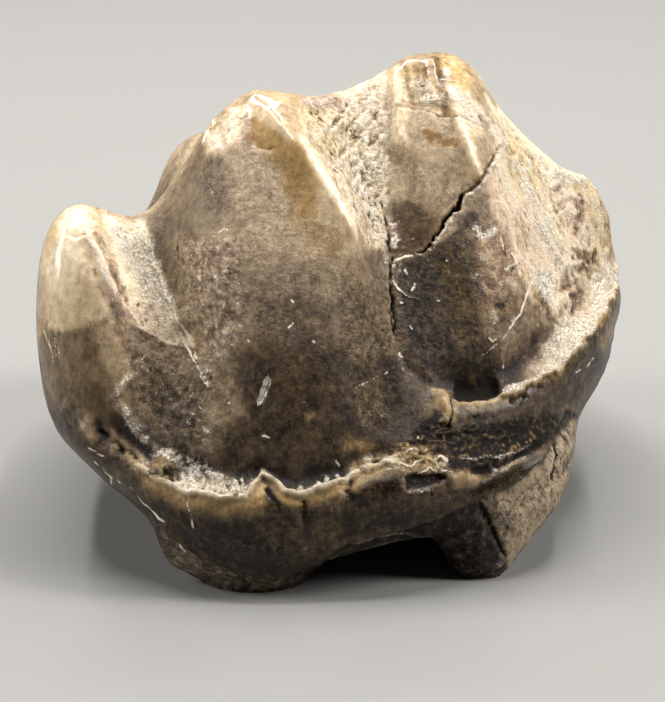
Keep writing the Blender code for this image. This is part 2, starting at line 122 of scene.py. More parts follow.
class Clay:
    """The skin as arrays: triangles, and for each point its place, relief and paints."""

    def __init__(self, mesh):
        places = np.empty(len(mesh.vertices) * 3)
        mesh.vertices.foreach_get("co", places)
        corners = np.empty(len(mesh.polygons) * 3, int)
        mesh.polygons.foreach_get("vertices", corners)
        self.faces = corners.reshape(-1, 3)
        self.data = {"place": places.reshape(-1, 3) * 1000}
        self.data["lift"] = np.zeros(len(self.data["place"]))
        bpy.data.meshes.remove(mesh)
        self.find_normals()

    def __getitem__(self, name):
        return self.data[name]

    def __setitem__(self, name, values):
        self.data[name] = values

    def gathered(self, owners, vectors):
        """The sum of the vectors that each point owns."""
        size = len(self["place"])
        return np.stack([np.bincount(owners, vectors[:, a], size) for a in range(3)], axis=1)

    def find_normals(self):
        a, b, c = (self["place"][self.faces[:, k]] for k in range(3))
        across = np.cross(b - a, c - a)
        total = sum(self.gathered(self.faces[:, k], across) for k in range(3))
        self["normal"] = total / np.linalg.norm(total, axis=1, keepdims=True)

    def relax(self, passes, step=0.5, back=-0.53):
        """Evens the skin without shrinking it: each pass pulls in and then lets out."""
        size = len(self["place"])
        ends, _ = edges_of(self.faces, size)
        one = np.concatenate((ends[:, 0], ends[:, 1]))
        other = np.concatenate((ends[:, 1], ends[:, 0]))
        share = np.bincount(one, minlength=size)[:, None]
        for _ in range(passes):
            for amount in (step, back):
                middle = self.gathered(one, self["place"][other]) / share
                self["place"] += amount * (middle - self["place"])
        self.find_normals()

    def split(self, chosen):
        """Halves the edges of the chosen triangles and keeps the skin whole beside them."""
        size = len(self["place"])
        touched = np.zeros(size, bool)
        touched[self.faces[chosen]] = True
        beside = touched[self.faces].sum(axis=1) > 1
        faces = self.faces[beside]
        ends, owner = edges_of(faces, size)
        marked = np.zeros(len(ends), bool)
        marked[owner[chosen[beside]].ravel()] = True
        a, b = ends[marked].T
        run, turn = self["place"][b] - self["place"][a], self["normal"][b] - self["normal"][a]
        bend = (run * turn).sum(axis=1)
        added = {name: (values[a] + values[b]) / 2 for name, values in self.data.items()}
        added["normal"] /= np.linalg.norm(added["normal"], axis=1, keepdims=True)
        off_chord = bend / 8  # a round arc's middle stands off its chord by this much
        added["place"] += added["normal"] * off_chord[:, None]
        for name, values in added.items():
            self[name] = np.concatenate((self[name], values))
        middle = np.full(len(ends), -1)
        middle[marked] = size + np.arange(marked.sum())
        self.faces = np.concatenate((self.faces[~beside], *recut(faces, middle[owner])))


def edges_of(faces, size):
    """Each edge's two ends, and the three edges of each triangle."""
    other = np.roll(faces, -1, axis=1)
    pairs = np.minimum(faces, other) * size + np.maximum(faces, other)
    keys, owner = np.unique(pairs, return_inverse=True)
    return np.stack((keys // size, keys % size), axis=1), owner.reshape(-1, 3)


def recut(faces, middles):
    """The triangles again, each cut to suit the new points on its edges."""
    count = (middles >= 0).sum(axis=1)
    turn = np.zeros(len(count), int)
    turn[count == 1] = np.argmax(middles[count == 1] >= 0, axis=1)
    turn[count == 2] = (np.argmax(middles[count == 2] < 0, axis=1) + 1) % 3
    order = (turn[:, None] + np.arange(3)) % 3
    v = np.take_along_axis(faces, order, axis=1)
    m = np.take_along_axis(middles, order, axis=1)
    corners = np.concatenate((v, m), axis=1)
    recipes = {
        0: ((0, 1, 2),),
        1: ((0, 3, 2), (3, 1, 2)),
        2: ((3, 1, 4), (0, 3, 4), (0, 4, 2)),
        3: ((0, 3, 5), (3, 1, 4), (5, 4, 2), (3, 4, 5)),
    }
    return [corners[count == n][:, triangle] for n, cuts in recipes.items() for triangle in cuts]


tooth = Clay(fine_skin())
tooth.relax(EVENING_PASSES)


def look(turn=0.0):
    """Each point's pixel, and a share that is 1 where the photograph shows the point well.

    A turn in degrees looks at the tooth in the same way from another side.
    """
    across, along = math.cos(math.radians(turn)), math.sin(math.radians(turn))
    spin = np.array(((across, -along, 0.0), (along, across, 0.0), (0.0, 0.0, 1.0)))
    places, normals = tooth["place"] @ spin, tooth["normal"] @ spin
    to_eye = eye_place - places
    to_eye /= np.linalg.norm(to_eye, axis=1, keepdims=True)
    facing = (normals * to_eye).sum(axis=1)
    tree = BVHTree.FromPolygons(places.tolist(), tooth.faces.tolist())
    shown = smooth_step(facing, 0.0, WELL_FACED)
    for index in np.flatnonzero(facing > 0):
        start = Vector(places[index] + OFF_SKIN * normals[index])
        if tree.ray_cast(start, Vector(to_eye[index]))[0] is not None:
            shown[index] = 0.0
    tooth["pixel"] = pixels_of(places)
    tooth["shown"] = shown


look()
tooth.split(tooth["shown"][tooth.faces].max(axis=1) > BARELY_SHOWN)
tooth.find_normals()
tooth.relax(LATER_PASSES)
look()


# The whole tooth before its marks. Enamel is palest on the cusps and darkest at the neck, partly its
# stain and partly painted shade where the lower parts fall in shade, the stain lying in uneven clouds.
# Below the enamel's edge the roots are dull and earthy. A tone is 0 for cream and 1 for nearly black,
# and every other paint is 0 for none and 1 for all.
NECK_HEIGHT = 4.6
STAIN_AND_SHADE_HEIGHTS = (2, 8, 13, 20, 27, 33)
STAIN_AND_SHADE_TONES = (0.96, 0.90, 0.76, 0.58, 0.42, 0.30)
BROAD_REACH = 30
SEED_STEP = 31.7
HASH_STEPS = (73856093, 19349663, 83492791)
HASH_MIXER = 1274126177
PAINTS = ("tone", "amber", "pink", "rust", "chalk", "dark", "vein", "net", "dull", "root", "pitted",
          "combed", "fibre")


def lumps(places, size, seed=0):
    """Smooth noise from -1 to 1 whose lumps are about size millimetres wide."""
    spot = places / size + SEED_STEP * seed
    cell = np.floor(spot).astype(np.int64)
    inside = spot - cell
    ease = inside**3 * (inside * (inside * 6 - 15) + 10)
    total = np.zeros(len(places))
    for corner in np.ndindex(2, 2, 2):
        x, y, z = (cell + corner).T
        mixed = (x * HASH_STEPS[0]) ^ (y * HASH_STEPS[1]) ^ (z * HASH_STEPS[2])
        mixed = (mixed ^ (mixed >> 13)) * HASH_MIXER & 0x7FFFFFFF
        height = ((mixed ^ (mixed >> 16)) & 0xFFFF) / 32767.5 - 1
        total += height * np.where(corner, ease, 1 - ease).prod(axis=1)
    return total


def layered(places, size, seed=0, layers=3):
    """Lumps with smaller and fainter lumps on them."""
    total = np.zeros(len(places))
    for layer in range(layers):
        total += lumps(places, size / 2**layer, seed + layer) / 2**layer
    return total / (2 - 2.0 ** (1 - layers))


for paint in PAINTS:
    tooth[paint] = np.zeros(len(tooth["place"]))


def hollows(places, passes):
    """How deep each point lies below the mean of its surroundings, in millimetres."""
    ends, _ = edges_of(tooth.faces, len(places))
    one, other = np.concatenate((ends, ends[:, ::-1])).T
    share = np.bincount(one)[:, None]
    around = places
    for _ in range(passes):
        around = tooth.gathered(one, around[other]) / share
    return ((around - places) * tooth["normal"]).sum(axis=1)


place, normal = tooth["place"], tooth["normal"]
# Darker towards the bottom: the stain, and painted shade where the lower parts fall in shade.
height = place[:, 2] + 2.2 * layered(place, 9.0, 11)
tooth["tone"] = np.interp(height, STAIN_AND_SHADE_HEIGHTS, STAIN_AND_SHADE_TONES)
tooth["tone"] += 0.07 * layered(place, 3.0, 15)
neck = place[:, 2] + 0.5 * layered(place, 2.5, 21) - 2.0 * np.clip(-normal[:, 2] - 0.35, 0, 1)
tooth["root"] = 1 - smooth_step(neck, NECK_HEIGHT - 0.25, NECK_HEIGHT + 0.25)
tooth["lift"] += 0.05 * layered(place, 4.0, 31) + 0.02 * layered(place, 1.2, 35)
tooth["net"] = 0.4 * smooth_step(layered(place, 5.0, 41), -0.1, 0.5)
tooth["amber"] = 0.3 * smooth_step(layered(place, 6.0, 45), 0.0, 0.6)
tooth["dull"] = 0.45 + 0.2 * layered(place, 4.0, 51)
# Broad hollows are painted darker and broad swells paler, as painted shade and painted light.
broad = hollows(place, BROAD_REACH)
tooth["tone"] += np.clip(0.9 * broad, -0.12, 0.25)
# The sides turned away from this view are painted darker as painted shade, offsetting the ring lamps behind
# the tooth, which light those sides more strongly.
tooth["tone"] += (0.12 + 0.15 * layered(place, 5.0, 53, 4)) * (1 - tooth["shown"])
tooth["dull"] -= 0.4 * smooth_step(-broad, 0.15, 0.45)
silt = smooth_step(broad + 0.25 * layered(place, 2.6, 52, 4), 0.02, 0.42)
silt *= (1 - tooth["root"]) * (1 - tooth["shown"])
lumpy = layered(place, 1.3, 54)
tooth["tone"] += (0.46 - 0.25 * lumpy - tooth["tone"]) * 0.8 * silt
tooth["chalk"] = silt * np.clip(0.12 + 0.4 * lumpy, 0, 0.4)
tooth["dull"] = np.maximum(tooth["dull"], 0.8 * silt)
tooth["dark"] = silt * np.clip(-0.9 * lumpy - 0.2, 0, 0.4)
tooth["pitted"] = 0.7 * silt
tooth["lift"] += 0.12 * silt * lumpy
tooth["net"] += 0.5 * (1 - tooth["shown"])

# The parastyle, the low lobe at the front of the cheek side: smooth, clear, polished enamel above a
# dark foot. A pinkish band runs down its back beside a brown groove, and knobs stand at its base.
FINER_ROUNDS = 2
LONG_EDGE = 1.4


def gap_to(spots, line):
    """Each spot's distance from a line, above 0 on its right hand side, and how far along it is."""
    gap = np.full(len(spots), 1e6)
    side = np.ones(len(spots))
    share = np.zeros(len(spots))
    lengths = np.linalg.norm(np.diff(line, axis=0), axis=1)
    starts = np.concatenate(((0.0,), np.cumsum(lengths)))
    for number, (start, end) in enumerate(zip(line[:-1], line[1:], strict=True)):
        run = end - start
        along = ((spots - start) @ run / (run @ run)).clip(0, 1)
        off = spots - start - along[:, None] * run
        far = np.hypot(off[:, 0], off[:, 1])
        closer = far < gap
        gap[closer] = far[closer]
        side[closer] = np.sign(run[0] * off[closer, 1] - run[1] * off[closer, 0])
        share[closer] = ((starts[number] + along * lengths[number]) / starts[-1])[closer]
    return gap * np.where(side == 0, 1, side), share


def seen_near(corners, reach, wander, size, seed):
    """Points that the photograph shows around a drawing, and their pixels shaken by a wander.

    Here and below, corners, reach, soft, half and wander are pixels, and size, height, depth and
    grain are millimetres.
    """
    line = np.array(corners, float)
    pixels = tooth["pixel"]
    margin = reach + wander
    boxed = (pixels > line.min(axis=0) - margin) & (pixels < line.max(axis=0) + margin)
    index = np.flatnonzero(boxed.all(axis=1) & (tooth["shown"] > 0))
    spots = pixels[index]
    if wander:
        places = tooth["place"][index]
        drift = np.stack((layered(places, size, seed), layered(places, size, seed + 7)), axis=1)
        spots = spots + wander * drift
    return line, index, spots


def near(corners, reach, wander=0.0, size=1.0, seed=1):
    """Points within reach pixels of a line drawn on the photograph, their gaps and shares."""
    line, index, spots = seen_near(corners, reach, wander, size, seed)
    gap, share = gap_to(spots, line)
    kept = np.abs(gap) < reach
    return index[kept], gap[kept], share[kept]


def within(corners, soft, wander=0.0, size=1.5, seed=3):
    """Points in a patch drawn on the photograph, and how fully, 0 to 1."""
    outline, index, spots = seen_near(corners, soft, wander, size, seed)
    closed = np.vstack((outline, outline[:1]))
    gap, _ = gap_to(spots, closed)
    inside = np.zeros(len(spots), bool)
    for (ax, ay), (bx, by) in zip(closed[:-1], closed[1:], strict=True):
        if ay != by:
            crosses = (spots[:, 1] < ay) != (spots[:, 1] < by)
            inside ^= crosses & (spots[:, 0] < ax + (bx - ax) * (spots[:, 1] - ay) / (by - ay))
    depth = np.where(inside, np.abs(gap), -np.abs(gap))
    share = smooth_step(depth, -soft / 2, soft / 2) * tooth["shown"][index]
    return index[share > 0], share[share > 0]


def blend(paint, index, value, share):
    """Brings a paint to a new value, all the way where the share is 1."""
    tooth[paint][index] += (value - tooth[paint][index]) * share


def at_least(paint, index, value):
    """Strengthens a paint where it is weaker than a value."""
    tooth[paint][index] = np.maximum(tooth[paint][index], value)


def press(index, height):
    """Raises points, or sinks them if height is negative, where the photograph shows them."""
    tooth["lift"][index] += height * tooth["shown"][index]


def tint(corners, soft, wander=6, size=1.5, seed=3, strength=1.0, **paints):
    """Brings paints to new values inside a patch."""
    index, share = within(corners, 2 * soft, wander, size, seed)
    for paint, value in paints.items():
        blend(paint, index, value, share * strength)


def lay(paint, index, share):
    """Lays a paint where it is stronger than what is there."""
    at_least(paint, index, np.clip(share, 0, 1) * tooth["shown"][index])


def finer(corners, reach, grain):
    """Draws the skin finer along a line, until its edges are about the grain in millimetres."""
    for _ in range(FINER_ROUNDS):
        chosen = np.zeros(len(tooth["place"]), bool)
        chosen[near(corners, reach)[0]] = True
        picked = chosen[tooth.faces].any(axis=1)
        triangle = tooth["place"][tooth.faces[picked]]
        longest = np.linalg.norm(triangle - np.roll(triangle, -1, axis=1), axis=2).max(axis=1)
        picked[picked] = longest > LONG_EDGE * grain
        if picked.any():
            tooth.split(picked)


def ridge(corners, half, height, wander=1.0, size=1.0, seed=1, run=0.15, edge=0.0, **paints):
    """Raises a swelling along a line, or sinks a furrow if height is negative, and may paint it.

    It fades over a run at each end, a share of the line's length. With an edge its flanks meet in a
    crest rounded to that many pixels.
    """
    index, gap, share = near(corners, (5 if edge else 3) * half, wander, size, seed)
    form = np.exp(-(np.hypot(gap, edge) - edge) / half) if edge else np.exp(-((gap / half) ** 2))
    form *= smooth_step(share, 0, run) * smooth_step(1 - share, 0, run)
    press(index, height * form)
    for paint, amount in paints.items():
        lay(paint, index, amount * form)


def scratch(corners, half=1.3, amount=1.0, depth=0.03, wander=1.2, seed=1, paint="vein"):
    """A fine broken line, sharper than a ridge."""
    finer(corners, 3.5, 0.12)
    index, gap, share = near(corners, 3 * half, wander, 0.6, seed)
    form = smooth_step(half - np.abs(gap), -0.6, half)
    form *= smooth_step(share, 0, 0.05) * smooth_step(1 - share, 0, 0.05)
    broken = 0.7 + 0.5 * lumps(tooth["place"][index], 0.6, seed)
    press(index, -depth * form)
    lay(paint, index, amount * form * broken)


CLEAR_CAP = ((38, 340), (36, 250), (56, 208), (80, 198), (104, 208), (112, 240), (112, 290), (108, 314),
             (90, 322), (75, 328), (62, 334), (50, 328))
tint(CLEAR_CAP, 4, 3, tone=0.26, dull=0.0, net=0.1)
CAP_PALE_MIDDLE = ((44, 305), (46, 240), (62, 212), (85, 205), (96, 225), (92, 262), (80, 300))
tint(CAP_PALE_MIDDLE, 12, tone=0.14)
CAP_BACK_SHADE = ((78, 300), (80, 262), (92, 258), (104, 290), (100, 312))
tint(CAP_BACK_SHADE, 8, tone=0.30)
CAP_FRONT_SHADE = ((30, 345), (30, 270), (40, 262), (46, 300), (50, 330))
tint(CAP_FRONT_SHADE, 6, tone=0.44)
CAP_AMBER_EDGE = ((38, 270), (42, 228), (56, 208), (62, 212), (52, 240), (44, 270))
tint(CAP_AMBER_EDGE, 5, amber=0.8, tone=0.24)
CAP_FOOT = ((36, 340), (50, 331), (62, 336), (76, 331), (90, 325), (98, 345), (108, 366), (114, 392),
            (108, 420), (84, 424), (56, 405), (42, 375))
tint(CAP_FOOT, 4, 3, tone=0.67, dull=0.15, amber=0.15, net=0.1)
CAP_FOOT_SHADE = ((50, 384), (96, 384), (110, 404), (96, 425), (66, 412))
tint(CAP_FOOT_SHADE, 10, tone=0.76)
CAP_FOOT_LIGHT = ((94, 324), (112, 318), (128, 345), (132, 372), (114, 376), (102, 358))
tint(CAP_FOOT_LIGHT, 6, tone=0.42, dull=0.1)
GROWTH_LINE = ((52, 329), (62, 334), (76, 329), (90, 322), (104, 315))
scratch(GROWTH_LINE, 1.6, 0.4, 0.0, 1.5, 54, "dark")
BACK_BAND = ((86, 232), (97, 250), (107, 276), (120, 302))
BAND_BACK_FURROW = ((96, 231), (108, 256), (120, 284), (134, 310))
ridge(BAND_BACK_FURROW, 3.5, -0.26, 2.5, 0.7, 56, rust=0.42, pink=0.6, dark=0.30)
BAND_FRONT_FURROW = ((79, 238), (90, 262), (102, 292), (108, 306))
ridge(BAND_FRONT_FURROW, 3.0, -0.10, 2.5, 0.7, 57, rust=0.40, pink=0.6)
ridge(BACK_BAND, 3.6, 0.15, 2.5, 0.7, 55, run=0.06)
index, gap, _ = near(BACK_BAND, 7, 2.5, 0.7, 55)
worn = smooth_step(4.6 - np.abs(gap), 0, 2.6)
blend("tone", index, 0.20, worn)
at_least("pink", index, worn)
at_least("dull", index, 0.6 * worn)
worn_lumps = layered(tooth["place"][index], 0.5, 58)
tooth["lift"][index] += 0.07 * worn * worn_lumps
lay("chalk", index, worn * (0.38 + 0.7 * worn_lumps))
BAND_TOP_STAIN = ((68, 234), (76, 237), (84, 234), (92, 231), (100, 236))
scratch(BAND_TOP_STAIN, 2.4, 0.8, 0.05, 2.5, 54, "rust")
BAND_PINK_FOOT = ((106, 292), (120, 292), (130, 310), (132, 322), (120, 320), (110, 308))
tint(BAND_PINK_FOOT, 4, 4, 0.8, pink=1.0, tone=0.62, dull=0.5, net=1.0)
BAND_BROWN_FOOT = ((114, 318), (128, 318), (132, 334), (124, 346), (118, 336))
tint(BAND_BROWN_FOOT, 4, 4, 0.8, rust=0.5, tone=0.60, net=1.0)
BAND_FOOT_FURROW = ((112, 300), (118, 318), (122, 340))
ridge(BAND_FOOT_FURROW, 4.5, -0.16, 1.5, seed=58, dark=0.3)
CAP_FOOT_SCRATCH = ((86, 320), (94, 332), (106, 350))
scratch(CAP_FOOT_SCRATCH, 1.1, 0.55, seed=59)
FRONT_SCRATCHES = ((40, 320), (44, 330), (48, 322), (46, 338), (52, 330))
for x, y in FRONT_SCRATCHES:
    scratch(((x, y), (x + 5, y + 12), (x + 8, y + 26)), 0.9, 0.6, seed=y)
CAP_NOTCH = ((98, 208), (104, 207), (110, 211))
ridge(CAP_NOTCH, 3.0, 0.16, 1.0, seed=62)
FRONT_RUST = ((34, 318), (50, 318), (58, 360), (44, 362))
tint(FRONT_RUST, 5, rust=0.34, dull=0.5)
KNOBBY_BASE = ((60, 392), (82, 412), (104, 424), (126, 436), (142, 462), (166, 472), (150, 486), (112, 462),
               (80, 440), (62, 410))
index, share = within(KNOBBY_BASE, 14, 4)
knobs = layered(tooth["place"][index], 1.1, 60)
tooth["lift"][index] += share * (0.26 * knobs + 0.05)
lay("dark", index, share * np.clip(-2.2 * knobs - 0.8, 0, 0.6))
at_least("dull", index, 0.35 * share)
at_least("amber", index, 0.35 * share)
blend("tone", index, 0.68 - 0.5 * knobs, share)
lay("chalk", index, share * np.clip(1.6 * knobs - 0.5, 0, 0.6))
KNOB_CLEFTS = ((102, 434), (119, 447), (133, 456))
for x, y in KNOB_CLEFTS:
    ridge(((x - 6, y - 6), (x, y), (x + 7, y + 7)), 2.6, -0.34, 5.0, 0.5, y, 0.3, dark=0.6)


# The valley between the parastyle and the paracone: a flat floor under a glittering chalky crust,
# with a fibrous patch at its foot, a thin chalk edge against the paracone and gritty hollows below.
def crust(corners, soft, size, depth, amount, seed, stretch=(1, 1, 1), hollow_shade=0.6):
    """Covers a patch with lumpy crust, chalky on its tops and darkened in its hollows as painted shade."""
    index, share = within(corners, soft, 0.6 * soft, seed=seed)
    form = layered(tooth["place"][index] * stretch, size, seed)
    tooth["lift"][index] += depth * share * form
    lay("chalk", index, share * (amount + 0.9 * form))
    # Painted shade in the crust's hollows.
    lay("dark", index, hollow_shade * share * np.clip(-3 * form - 0.6, 0, 1))
    lay("pitted", index, share)
    at_least("dull", index, 0.8 * share)


VALLEY = ((104, 214), (128, 220), (148, 220), (158, 250), (172, 284), (186, 318), (194, 344), (180, 345),
          (150, 332), (134, 320), (124, 290), (112, 250))
VALLEY_MIDDLE = ((134, 222), (150, 258), (168, 298), (186, 338))
ridge(VALLEY_MIDDLE, 17.0, 0.60)
tint(VALLEY, 4, 4, tone=-0.05, dull=0.7, amber=0.1, net=0.6)
GLITTER = ((108, 222), (147, 222), (156, 250), (172, 282), (184, 318), (166, 320), (146, 298), (130, 272),
           (116, 246))
crust(GLITTER, 12, 0.35, 0.08, 0.62, 61, hollow_shade=0.15)
BRIGHT_GLITTER = ((138, 240), (154, 246), (172, 284), (182, 312), (166, 306), (150, 280))
crust(BRIGHT_GLITTER, 8, 0.35, 0.11, 0.95, 64, hollow_shade=0.12)
FIBROUS = ((122, 300), (150, 302), (178, 314), (190, 342), (165, 345), (138, 332))
crust(FIBROUS, 6, 0.6, 0.10, 0.10, 67, (1.6, 1, 0.6))
tint(FIBROUS, 4, pink=0.6, net=1.0, tone=0.04, fibre=1.0)
VALLEY_SHADE = ((150, 222), (170, 214), (180, 250), (180, 300), (170, 280), (158, 250))
tint(VALLEY_SHADE, 5, tone=0.62, dull=0.5)
VALLEY_EDGE = ((150, 236), (158, 262), (168, 290), (178, 312), (188, 334), (195, 352), (203, 372))
scratch(VALLEY_EDGE, 2.6, 0.8, -0.08, 3.0, 68)
SECOND_EDGE = ((166, 306), (176, 322), (186, 345), (198, 366))
scratch(SECOND_EDGE, 1.8, 0.9, -0.06, 3.0, 71)
FIBROUS_EDGE = ((135, 326), (148, 331), (166, 342), (184, 347))
scratch(FIBROUS_EDGE, 1.7, 0.8, -0.04, 2.0, 69)
EDGE_SPUR = ((188, 342), (196, 338), (204, 337))
scratch(EDGE_SPUR, 1.3, 0.6, 0.0, 1.5, 70)
GRITTY_HOLLOW = ((128, 336), (160, 348), (192, 352), (208, 385), (206, 440), (190, 462), (160, 446),
                 (132, 402), (132, 365))
tint(GRITTY_HOLLOW, 6, tone=0.66, dull=0.55, net=0.8)
HOLLOW_TOP = ((140, 334), (188, 350), (196, 372), (160, 372), (136, 352))
tint(HOLLOW_TOP, 6, 6, tone=0.60, net=1.0)
HOLLOW_FOOT = ((150, 392), (200, 388), (206, 436), (190, 456), (160, 430))
tint(HOLLOW_FOOT, 10, tone=0.80, dull=0.6, net=1.0)
HOLLOW_GRIT = ((126, 340), (150, 345), (170, 372), (196, 380), (208, 420), (204, 470), (180, 462),
               (150, 420), (128, 380))
crust(HOLLOW_GRIT, 14, 0.35, 0.06, -0.06, 72)
EDGE_CRUMBS = ((196, 366), (208, 366), (214, 376), (208, 388), (200, 380))
crust(EDGE_CRUMBS, 4, 0.3, 0.10, 0.50, 75)
HOLLOW_FLECKS = ((142, 360), (150, 374), (160, 366), (166, 388), (154, 396), (176, 372), (190, 398),
                 (172, 412), (186, 424), (198, 436), (164, 428), (202, 410))
for number, (x, y) in enumerate(HOLLOW_FLECKS):
    scratch(((x, y), (x + 5 * (-1) ** number, y - 7)), 1.0, 0.7, seed=620 + number)
FAN_LEANS = (-9, -4, 2, 7)
for lean in FAN_LEANS:
    scratch(((181 + lean, 402), (184 + lean / 3, 394), (189 - lean / 4, 387)), 1.1, 0.5, seed=80 + lean)
HOLLOW_CREST = ((112, 398), (119, 389), (127, 380), (134, 370))
ridge(HOLLOW_CREST, 3.0, 0.14, 2.5, 0.6, seed=76, chalk=0.75, vein=0.5)
HOLLOW_FURROW = ((113, 398), (126, 412), (142, 432), (158, 450), (176, 470))
ridge(HOLLOW_FURROW, 5.5, 0.34, 3.0, seed=77)
HOLLOW_CRUST = ((110, 396), (122, 400), (142, 424), (164, 446), (182, 462), (196, 476), (176, 482),
                (156, 466), (138, 442), (122, 416))
crust(HOLLOW_CRUST, 8, 0.6, 0.12, 0.44, 78)

# The paracone, the broad cusp in the middle: streaked and netted enamel, dark towards its foot. Its tip
# is polished, with a worn chalky shoulder, an amber patch, a milky patch with a painted highlight down
# its right side, and a sharp edge down its back flank with a painted highlight along it.
PARACONE_EDGE = ((254, 98), (270, 114), (286, 138), (300, 156), (318, 180), (336, 208), (352, 244),
                 (368, 262))
finer(PARACONE_EDGE, 10, 0.2)
ridge(PARACONE_EDGE, 13.0, 0.80, 0.5, edge=5.0, run=0.22)
BACK_FLANK_DIP = ((345, 120), (356, 160), (368, 200), (376, 240))
ridge(BACK_FLANK_DIP, 14.0, -0.30)
TIP_SHOULDER = ((232, 102), (226, 130), (214, 165))
ridge(TIP_SHOULDER, 10.0, 0.20, edge=3.0)
FRONT_FLANK = ((146, 216), (178, 172), (205, 132), (228, 140), (220, 230), (204, 292), (180, 306),
               (164, 268))
tint(FRONT_FLANK, 7, tone=0.63)
FRONT_FLANK_SHADE = ((200, 172), (236, 168), (240, 205), (222, 225), (204, 212))
tint(FRONT_FLANK_SHADE, 8, tone=0.70, net=0.5)
PARACONE_MIDDLE = ((226, 150), (292, 150), (300, 235), (285, 300), (240, 300), (232, 230))
tint(PARACONE_MIDDLE, 9, tone=0.48, net=0.5)
PARACONE_TIP = ((205, 125), (228, 102), (252, 86), (300, 86), (310, 130), (292, 150), (250, 150),
                (215, 158))
tint(PARACONE_TIP, 5, tone=0.36, net=0.3)
NETTED_FLANK = ((180, 236), (238, 240), (244, 300), (238, 345), (226, 372), (206, 366), (190, 334),
                (178, 296))
tint(NETTED_FLANK, 8, tone=0.50, net=1.0, dull=0.65)
FIBROUS_FLANK = ((186, 240), (240, 236), (246, 300), (236, 350), (214, 366), (194, 334))
tint(FIBROUS_FLANK, 8, 8, fibre=1.0, pink=0.45)
NETTED_GRIT = ((190, 250), (236, 244), (238, 330), (222, 366), (200, 340))
crust(NETTED_GRIT, 20, 0.35, 0.04, 0.02, 96)
AMBER_PATCH = ((262, 152), (288, 148), (304, 158), (318, 200), (316, 226), (296, 222), (286, 196),
               (276, 170))
tint(AMBER_PATCH, 6, amber=1.0, tone=0.51, dull=0.25, net=0.1)
AMBER_FOOT = ((296, 214), (322, 222), (345, 246), (336, 258), (306, 248))
tint(AMBER_FOOT, 9, amber=0.7, tone=0.52, dull=0.4)
TIP_AMBER = ((252, 120), (262, 126), (286, 146), (290, 156), (262, 154), (252, 138))
tint(TIP_AMBER, 3, 2, amber=0.9, tone=0.50, dull=0.1)
TIP_RUST = ((246, 116), (256, 122), (255, 148), (240, 150), (244, 134))
tint(TIP_RUST, 3, 2, 0.8, rust=0.5, tone=0.56)
TIP_CHIP = ((256, 146), (266, 151), (276, 150))
scratch(TIP_CHIP, 2.4, 0.8, 0.05, 1.5, 89, "dark")
MILKY = ((226, 108), (246, 106), (248, 122), (242, 150), (206, 154), (206, 136), (216, 122))
tint(MILKY, 6, 6, tone=0.34, dull=0.35, net=1.0, pink=0.4)
# A painted highlight: a paler upright streak down the right side of the milky patch.
MILKY_PAINTED_HIGHLIGHT = ((229, 112), (240, 108), (242, 122), (237, 142), (229, 142))
tint(MILKY_PAINTED_HIGHLIGHT, 6, 3, tone=0.12)
MILKY_EDGE = ((208, 134), (222, 128), (226, 150), (208, 152))
tint(MILKY_EDGE, 4, 5, tone=0.16, chalk=0.3)
POLISHED_TIP = ((206, 104), (260, 84), (300, 88), (330, 160), (362, 244), (346, 246), (300, 170),
                (286, 152), (252, 150), (244, 106), (222, 126), (206, 130))
tint(POLISHED_TIP, 3, 3, dull=0.0)
SHOULDER_NICKS = ((204, 148), (208, 138), (214, 126))
for x, y in SHOULDER_NICKS:
    scratch(((x, y), (x + 1, y - 9), (x + 5, y - 18)), 1.4, 1.0, -0.05, seed=y)
RIGHT_FLANK = ((304, 96), (345, 98), (356, 128), (372, 178), (390, 236), (384, 254), (370, 252), (348, 222),
               (326, 176), (308, 134))
tint(RIGHT_FLANK, 5, 4, tone=0.16, dull=0.55, combed=1.0)
crust(RIGHT_FLANK, 10, 0.7, 0.05, 0.16, 101, (2.4, 1.0, 0.6), 0.6)
FLANK_CRYSTALS = ((350, 150), (366, 158), (384, 205), (390, 244), (376, 240), (356, 196))
crust(FLANK_CRYSTALS, 10, 0.4, 0.08, 0.50, 104)
# A painted highlight: a pale band along the paracone's edge, on a polished crest.
EDGE_POLISH_AND_PAINTED_HIGHLIGHT = ((296, 138), (301, 140), (318, 170), (336, 200), (351, 236), (352, 242), (332, 208),
               (312, 176))
tint(EDGE_POLISH_AND_PAINTED_HIGHLIGHT, 4, 2, tone=0.04, dull=0.05, combed=0.3, amber=0.0)
FLANK_AMBER = ((290, 92), (322, 104), (338, 150), (322, 168), (304, 132))
tint(FLANK_AMBER, 7, amber=0.5, tone=0.26)
FLANK_PINK = ((296, 88), (345, 96), (344, 110), (318, 112), (300, 102))
tint(FLANK_PINK, 3, 3, pink=1.0, tone=0.42)
LOWER_MIDDLE = ((232, 262), (300, 262), (386, 262), (392, 334), (330, 345), (242, 345))
tint(LOWER_MIDDLE, 16, 10, tone=0.64, net=0.5)
LOWER_SHADE = ((262, 300), (330, 300), (345, 350), (300, 372), (252, 362))
tint(LOWER_SHADE, 12, 8, tone=0.76)
PARACONE_FOOT = ((236, 350), (330, 345), (395, 352), (414, 400), (404, 452), (330, 470), (262, 470),
                 (232, 480), (214, 440))
tint(PARACONE_FOOT, 14, 8, tone=0.88, net=0.5, dull=0.35)
FOOT_BACK_LIGHT = ((340, 280), (372, 292), (398, 330), (392, 360), (352, 362), (338, 320))
tint(FOOT_BACK_LIGHT, 10, 8, tone=0.68, net=0.7)
FOOT_BACK_SHADE = ((344, 380), (385, 386), (392, 420), (360, 430))
tint(FOOT_BACK_SHADE, 12, 8, tone=0.76, net=0.9)
FOOT_FRONT_LIGHT = ((204, 372), (234, 366), (246, 412), (224, 436), (204, 420))
tint(FOOT_FRONT_LIGHT, 9, 8, tone=0.60, net=0.6)
FOOT_GRIT = ((342, 276), (376, 292), (404, 334), (396, 372), (408, 400), (380, 428), (352, 420), (346, 340))
